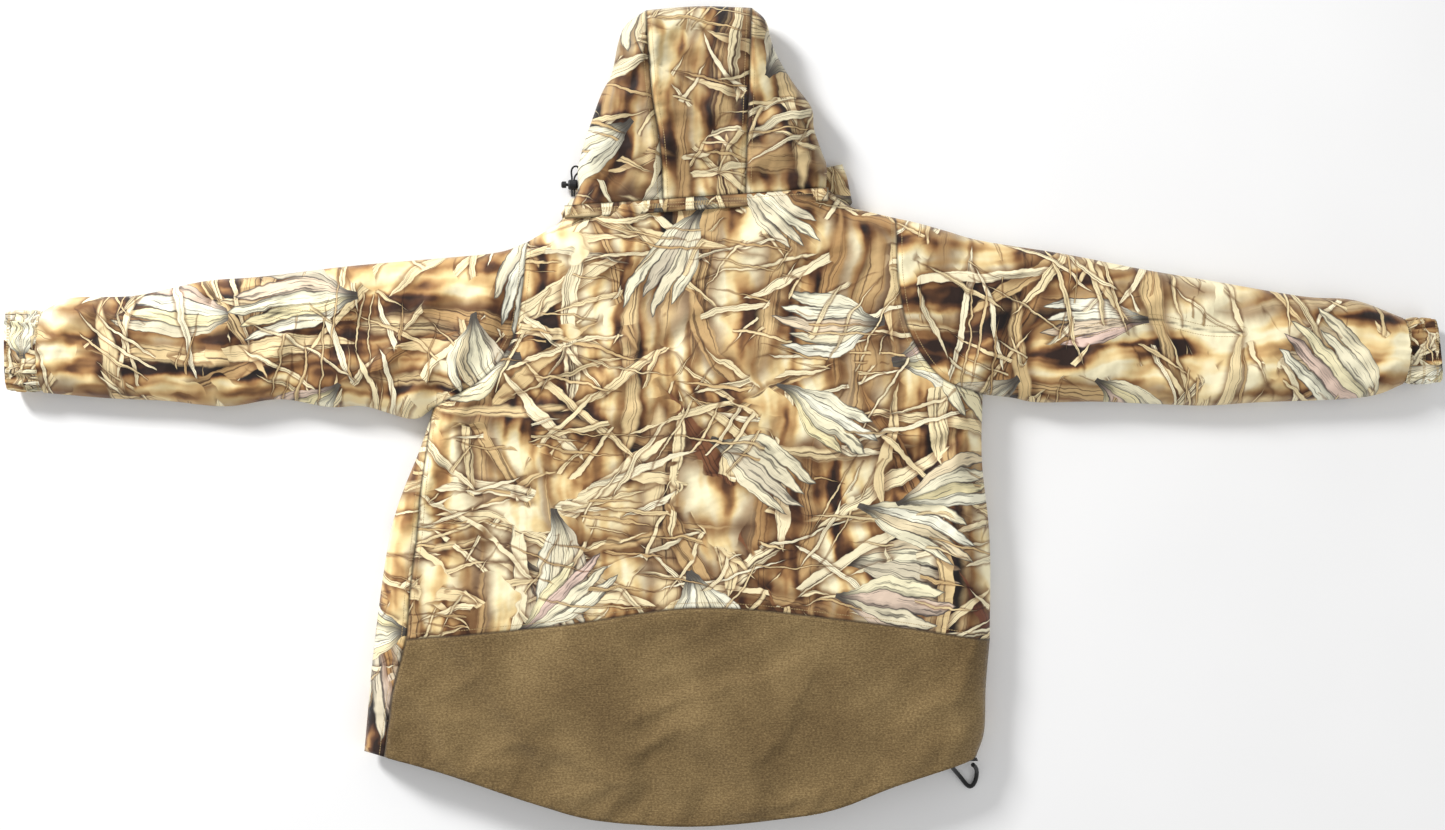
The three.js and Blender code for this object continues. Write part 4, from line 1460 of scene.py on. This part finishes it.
for side in ("left", "right"):
    cuff = gathered_cuff(side)
    stands_for(cuff, f"{side}_lower_arm", "print", f"{side}_cuff")
    ribs = ribbed_cuff(side)
    stands_for(ribs, f"{side}_lower_arm", "knit", f"{side}_storm_cuff")

# ---- hood ----
hood_low = {
    "left": straight([(-190, hood_line_y(-190)), (-74, hood_line_y(-74))]),
    "centre": straight([(-74, hood_line_y(-74)), (29, hood_line_y(29))]),
    "right": straight([(29, hood_line_y(29)), (130, hood_line_y(130))]),
}
hood_outlines = {
    "left": joined(hood_low["left"], HOOD_SEAM["left"], HOOD_EDGE["left"][::-1]),
    "centre": joined(hood_low["centre"], HOOD_SEAM["right"], HOOD_TOP_EDGE[::-1], HOOD_SEAM["left"][::-1]),
    "right": joined(hood_low["right"], HOOD_EDGE["right"], HOOD_SEAM["right"][::-1]),
}
HOOD_PRINT = {"left": ((5.2, 0.5), 14), "centre": ((5.9, 1.4), 0), "right": ((6.6, 0.8), -12)}
HOOD_LINES = [HOOD_SEAM["left"], HOOD_SEAM["right"]]
for part, outline in hood_outlines.items():
    shift, turn = HOOD_PRINT[part]
    sheets = [Sheet(outline, hood_top_height, 1, shift, turn)]
    if part != "centre":
        sheets.append(Sheet(outline, hood_under_height, -1, (shift[0] + 0.4, shift[1]), turn))
    panel = cloth(f"hood_{part}", sheets, HOOD_PRINT_WITH_PAINTED_SHADE, seams=HOOD_LINES, groove=1.6, thickness=1.2)
    bend_at_neck(panel)
    stands_for(panel, None, "print", f"hood_{part}_panel")
    declare_sheet(outline, sides=len(sheets))

brim_outline = joined(straight([(-90, 470), (-94, 507), (-30, 512), (35, 509), (34, 470), (-90, 470)], 6))

BRIM_MIDDLE = 5.9
BRIM_HALF = 4.6


def brim_height(facing):
    """One face of the padded brim inside the hood's opening."""
    def height(points):
        return BRIM_MIDDLE + facing * BRIM_HALF * rounded(edge_distance(points, brim_outline), 7)
    return height


brim = cloth(
    "hood_brim_cloth", both_faces(brim_outline, brim_height, (7.3, 1.2), 0, 6), PRINT,
    seams=[straight([(-88, y), (30, y)]) for y in (478, 500)], groove=0.5)
stands_for(brim, "hood", "print", "hood_brim")


# ---- quilted linings, seen through the hem, the cuffs and the hood's opening ----
def quilt(outline, middle, half, channel, turn, shell):
    """Heights of both faces of a pad under a shell: sewn lines a channel apart, puffed between."""
    def face(facing):
        def height(points):
            away = edge_distance(points, outline)
            x, y = points.T
            across = y * math.cos(turn) - x * math.sin(turn)
            puff = np.abs(np.sin(across / channel * math.pi)) ** 0.6
            centre = np.minimum(middle, shell(points) - half - 2.5) if shell else middle
            return centre + facing * half * rounded(away, 14) * (0.35 + 0.65 * puff)
        return height
    return face


LINING_STEP = 10.0
LINING_CHANNEL = 62  # between the quilting's sewn lines


def lining_pad(name, outline, heights, channel, turn=0.0, shell=None):
    low, high = heights
    face = quilt(outline, (low + high) / 2, (high - low) / 2, channel, turn, shell)
    return cloth(name, both_faces(outline, face, step=LINING_STEP), LINING, seams=[outline[:2]], groove=0)


def moved(line, dx, dy=0):
    return np.array(line) + (dx, dy)


left_inner = np.vstack([[(-199, 214)], moved(ARMHOLE["left"][6:-2], 12, -3), [(-356, -4)],
                                      [(-386, -281)], [(-412, -418)]])
right_inner = np.vstack([[(158, 232)], moved(ARMHOLE["right"][6:-2], -12, -3), [(308, 14)],
                         [(316, -160)], [(314, -300)], [(300, -418)]])
back_pad = joined(left_inner, straight([(-412, -418), (300, -418)], 12), right_inner[::-1],
                  straight([(158, 232), (-199, 214)], 12))
lining = lining_pad("back_lining", back_pad, (36.6, 42.0), LINING_CHANNEL, shell=top_height)
stands_for(lining, "torso", "lining", "back_liner")
FRONT_PADS = {
    "left": joined(left_inner, straight([(-412, -418), (-48, -418), (-48, 222), (-199, 214)], 12)),
    "right": joined(right_inner, straight([(300, -418), (8, -418), (8, 228), (158, 232)], 12)),
}
for side, outline in FRONT_PADS.items():
    lining = lining_pad(f"{side}_front_lining", outline, (16.8, 21.6), LINING_CHANNEL)
    stands_for(lining, "torso", "lining", f"{side}_front_liner")
draft = joined(straight([(-45, -417), (5, -417), (5, 248), (-45, 248), (-45, -417)], 8))
lining = lining_pad("draft_flap_cloth", draft, (17.2, 21.5), 700)
stands_for(lining, "torso", "lining", "draft_flap")

hood_pad = joined(smooth([(-152, 296), (-157, 318), (-148, 370), (-123, 423), (-112, 469), (-89, 493)], 10),
                  smooth([(-89, 493), (27, 493)], 10),
                  smooth([(27, 493), (43, 474), (57, 438), (96, 370), (104, 330), (100, 308)], 10),
                  straight([(100, 308), (-152, 296)], 10))
lining = lining_pad("hood_lining", hood_pad, (43.0, 49.0), 45, turn=1.57, shell=hood_top_height)
bend_at_neck(lining)
stands_for(lining, None, "lining", "hood_liner")


SLEEVE_LINING_MIDDLE = 20.5
SLEEVE_LINING_HALF = 12.5


def sleeve_lining(name, top, bottom, nodes):
    """A quilted tube just inside a sleeve, open at both ends."""
    upper = moved(top, 0, -9)
    lower = moved(bottom, 0, 9)
    outline = joined(upper, straight([upper[-1], lower[-1]], 12), lower[::-1],
                     straight([lower[0], upper[0]], 12))

    def face(facing):
        def height(points):
            away = away_from(points, upper, lower)
            puff = np.abs(np.sin(points[:, 0] / 55 * math.pi)) ** 0.6
            reach = SLEEVE_LINING_HALF * rounded(away, 26) - 1.6 * (1 - puff) * ramp(away, 4, 20)
            return SLEEVE_LINING_MIDDLE + facing * reach
        return height

    sheets = [Sheet(outline, face(1), -1, step=LINING_STEP), Sheet(outline, face(-1), 1, step=LINING_STEP)]
    made = cloth(name, sheets, LINING, seams=[outline[:2]], groove=0)
    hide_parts(nodes)
    return made


for side in ("left", "right"):
    top_inner, low_inner, top_outer, low_outer = sleeve_lines(side)
    beyond = abs(FOLD[side][1][0]) + 8
    top_part = np.array([p for p in top_inner if abs(p[0]) > beyond])
    low_part = np.array([p for p in low_inner if abs(p[0]) > beyond])
    upper = sleeve_lining(f"{side}_upper_lining", top_part, low_part, f"{side}_upper_sleeve_liner")
    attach(upper, f"{side}_upper_arm")
    lower = sleeve_lining(f"{side}_lower_lining", top_outer, low_outer, f"{side}_forearm_liner")
    bend_at_elbow(lower, side)

# ---- cargo pockets and flaps ----
POCKET_FACE = 5.6
POCKET_PRINT = {"left": (7.7, 0.3), "right": (8.4, 0.9)}
FLAP_TOP_Y = -134
FLAP_BOTTOM_Y = -214
FLAP_MIDDLE = 2.3
FLAP_HALF = 0.8
for side, middle in POCKET_MIDDLE.items():
    x0, x1 = middle - POCKET_HALF, middle + POCKET_HALF
    outline = joined(straight([(x0 + 6, POCKET_BOTTOM_Y), (x1 - 6, POCKET_BOTTOM_Y),
                               (x1, POCKET_BOTTOM_Y + 6), (x1, POCKET_TOP_Y), (x0, POCKET_TOP_Y),
                               (x0, POCKET_BOTTOM_Y + 6), (x0 + 6, POCKET_BOTTOM_Y)]))

    def pocket_height(points, x0=x0, x1=x1):
        x, y = points.T
        away = np.minimum(np.minimum(x - x0, x1 - x), y - POCKET_BOTTOM_Y)
        belly = 0.7 * folds(x, y, 12, 120, 50, 61)
        return 12.6 - (12.6 - POCKET_FACE - 0.6 + belly) * rounded(away, 11)

    hem = straight([(x0, POCKET_TOP_Y - 20), (x1, POCKET_TOP_Y - 20)])
    shift = POCKET_PRINT[side]
    pocket = cloth(f"{side}_pocket", [Sheet(outline, pocket_height, -1, shift, 2)], PRINT,
                   seams=[hem, outline[:12]], groove=0.5, thickness=1.0)
    stands_for(pocket, "torso", "print", f"{side}_cargo_pocket")
    declare_sheet(outline)
    fx0, fx1 = x0 - 1, x1 + 1
    flap_outline = joined(straight([
        (fx0 + 9, FLAP_BOTTOM_Y), (fx1 - 9, FLAP_BOTTOM_Y), (fx1, FLAP_BOTTOM_Y + 10),
        (fx1, FLAP_TOP_Y), (fx0, FLAP_TOP_Y), (fx0, FLAP_BOTTOM_Y + 10), (fx0 + 9, FLAP_BOTTOM_Y)]))

    def flap_height(facing):
        def height(points, outline=flap_outline, facing=facing):
            return FLAP_MIDDLE + facing * FLAP_HALF * rounded(edge_distance(points, outline), 3)
        return height

    inset = straight([
        (fx0 + 6, FLAP_TOP_Y - 2), (fx0 + 6, FLAP_BOTTOM_Y + 12), (fx0 + 12, FLAP_BOTTOM_Y + 6),
        (fx1 - 12, FLAP_BOTTOM_Y + 6), (fx1 - 6, FLAP_BOTTOM_Y + 12), (fx1 - 6, FLAP_TOP_Y - 2)])
    flap = cloth(f"{side}_flap_cloth", both_faces(flap_outline, flap_height, shift, 2), PRINT,
                 seams=[inset], groove=0.25)
    stands_for(flap, f"{side}_flap", "print", f"{side}_pocket_flap")
    declare_sheet(flap_outline)


# ---- zip: woven tape and a row of teeth on each side ----
TOOTH_PITCH = 0.0026
BOX_FACES = ((0, 1, 3, 2), (4, 6, 7, 5), (0, 4, 5, 1), (2, 3, 7, 6), (0, 2, 6, 4), (1, 5, 7, 3))


def zip_side(side):
    """The tape, with a row of small teeth that mesh with the other side's."""
    low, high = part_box(f"{side}_zip_tape")
    way = OUTWARD[side]
    near = CENTRE_X * MM + way * 0.0008
    far = low.x if way < 0 else high.x
    y0, y1 = low.y, high.y
    middle = (low.z + high.z) / 2
    vertices = []
    faces = []

    def box(xs, ys, zs):
        start = len(vertices)
        vertices.extend((x, y, z) for x in xs for y in ys for z in zs)
        faces.extend([start + i for i in face] for face in BOX_FACES)

    box(sorted((near + way * 0.003, far)), (y0, y1), (middle - 0.0005, middle + 0.0005))
    drop = TOOTH_PITCH * 0.5 if way > 0 else 0
    for tooth in range(int((y1 - y0) / TOOTH_PITCH)):
        y = y0 + TOOTH_PITCH * (tooth + 0.5) + drop
        box(sorted((near - way * 0.0002, near + way * 0.0034)), (y, y + TOOTH_PITCH * 0.42),
            (middle - 0.0016, middle + 0.0016))
    made = new_object(f"{side}_zip_tape_cloth", vertices, faces, TAPE)
    made.data.shade_flat()
    stands_for(made, "torso", "tape", f"{side}_zip_tape")


for side in ("left", "right"):
    zip_side(side)


# ---- narrow tapes: the hanger loop at the neck, the label under it, the hem cord's tab ----
def strap(name, node, slot, material, sag, thickness=0.9):
    """A flat woven strap the size of a CAD node, curved a little along its length."""
    low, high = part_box(node)
    along = 0 if high.x - low.x > high.y - low.y else 1
    if node == "hem_cord_tab":
        along = 2
    sizes = [high.x - low.x, high.y - low.y, high.z - low.z]
    flat_axis = sizes.index(min(sizes))
    cross = 3 - along - flat_axis
    steps = 24
    vertices = []
    for i in range(steps + 1):
        for j in range(5):
            spot = [0, 0, 0]
            spot[along] = low[along] + sizes[along] * i / steps
            spot[cross] = low[cross] + sizes[cross] * j / 4
            middle = (low[flat_axis] + high[flat_axis]) / 2
            spot[flat_axis] = middle + sag * math.sin(math.pi * i / steps)
            vertices.append(tuple(spot))
    faces = [[i * 5 + j, i * 5 + j + 1, i * 5 + j + 6, i * 5 + j + 5] for i in range(steps) for j in range(4)]
    made = new_object(name, vertices, faces, material)
    thicken(made, thickness)
    stands_for(made, "torso", slot, node)
    return made


strap("hanger_loop_tape", "hanger_loop", "tape", TAPE, -0.0012)
strap("size_label_cloth", "size_label", "tape", TAPE, -0.0004, 0.5)
strap("hem_tab_tape", "hem_cord_tab", "black_cord", BLACK_CORD, 0.0006, 1.4)

# ---- better finishes on the hard parts that keep their CAD shape ----
for name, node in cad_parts.items():
    if node.hide_render:
        continue
    hard = "brass" if any(word in name for word in ("zip", "snap", "stud")) else "black_plastic"
    node.data.materials.clear()
    node.data.materials.append(FINISHES[hard])
for cord in CORDS:
    cord.data.materials.append(BLACK_CORD)

# ---------------------------------------------------------------- room and light
FLOOR_REACH = 6.0
FLOOR_Z = -0.002
LAMPS = [  # name, place, size in metres, watts
    ("key", (-2.4, 2.3, 1.9), 0.8, 152),
    ("fill", (1.9, -1.4, 2.8), 2.4, 18),
]
WORLD_STRENGTH = 0.52


def make_floor():
    made, tree, shader = new_material("floor", Specular_IOR_Level=0.1, Roughness=0.9)
    grain = texture_noise(object_place(tree), 3.0, 2.0, flat=False)
    colours = colour_ramp(grain, [(0.0, (243, 243, 243)), (1.0, (250, 250, 250))])
    connect(tree, colours, shader.inputs["Base Color"])
    corners = [(x * FLOOR_REACH, y * FLOOR_REACH, FLOOR_Z)
               for x, y in ((-1, -1), (1, -1), (1, 1), (-1, 1))]
    new_object("floor", corners, [[0, 1, 2, 3]], made)


def add_lamp(name, place, size, power):
    """A square lamp that shines at the middle of the floor."""
    data = bpy.data.lights.new(name, "AREA")
    data.size = size
    data.energy = power
    lamp = bpy.data.objects.new(name, data)
    lamp.location = place
    lamp.rotation_euler = (-Vector(place)).to_track_quat("-Z", "Y").to_euler()
    bpy.context.scene.collection.objects.link(lamp)


make_floor()
for lamp in LAMPS:
    add_lamp(*lamp)
world = bpy.data.worlds.new("studio")
world.use_nodes = True
sky = world.node_tree.nodes["Background"]
sky.inputs["Color"].default_value = (1, 1, 1, 1)
sky.inputs["Strength"].default_value = WORLD_STRENGTH
bpy.context.scene.world = world
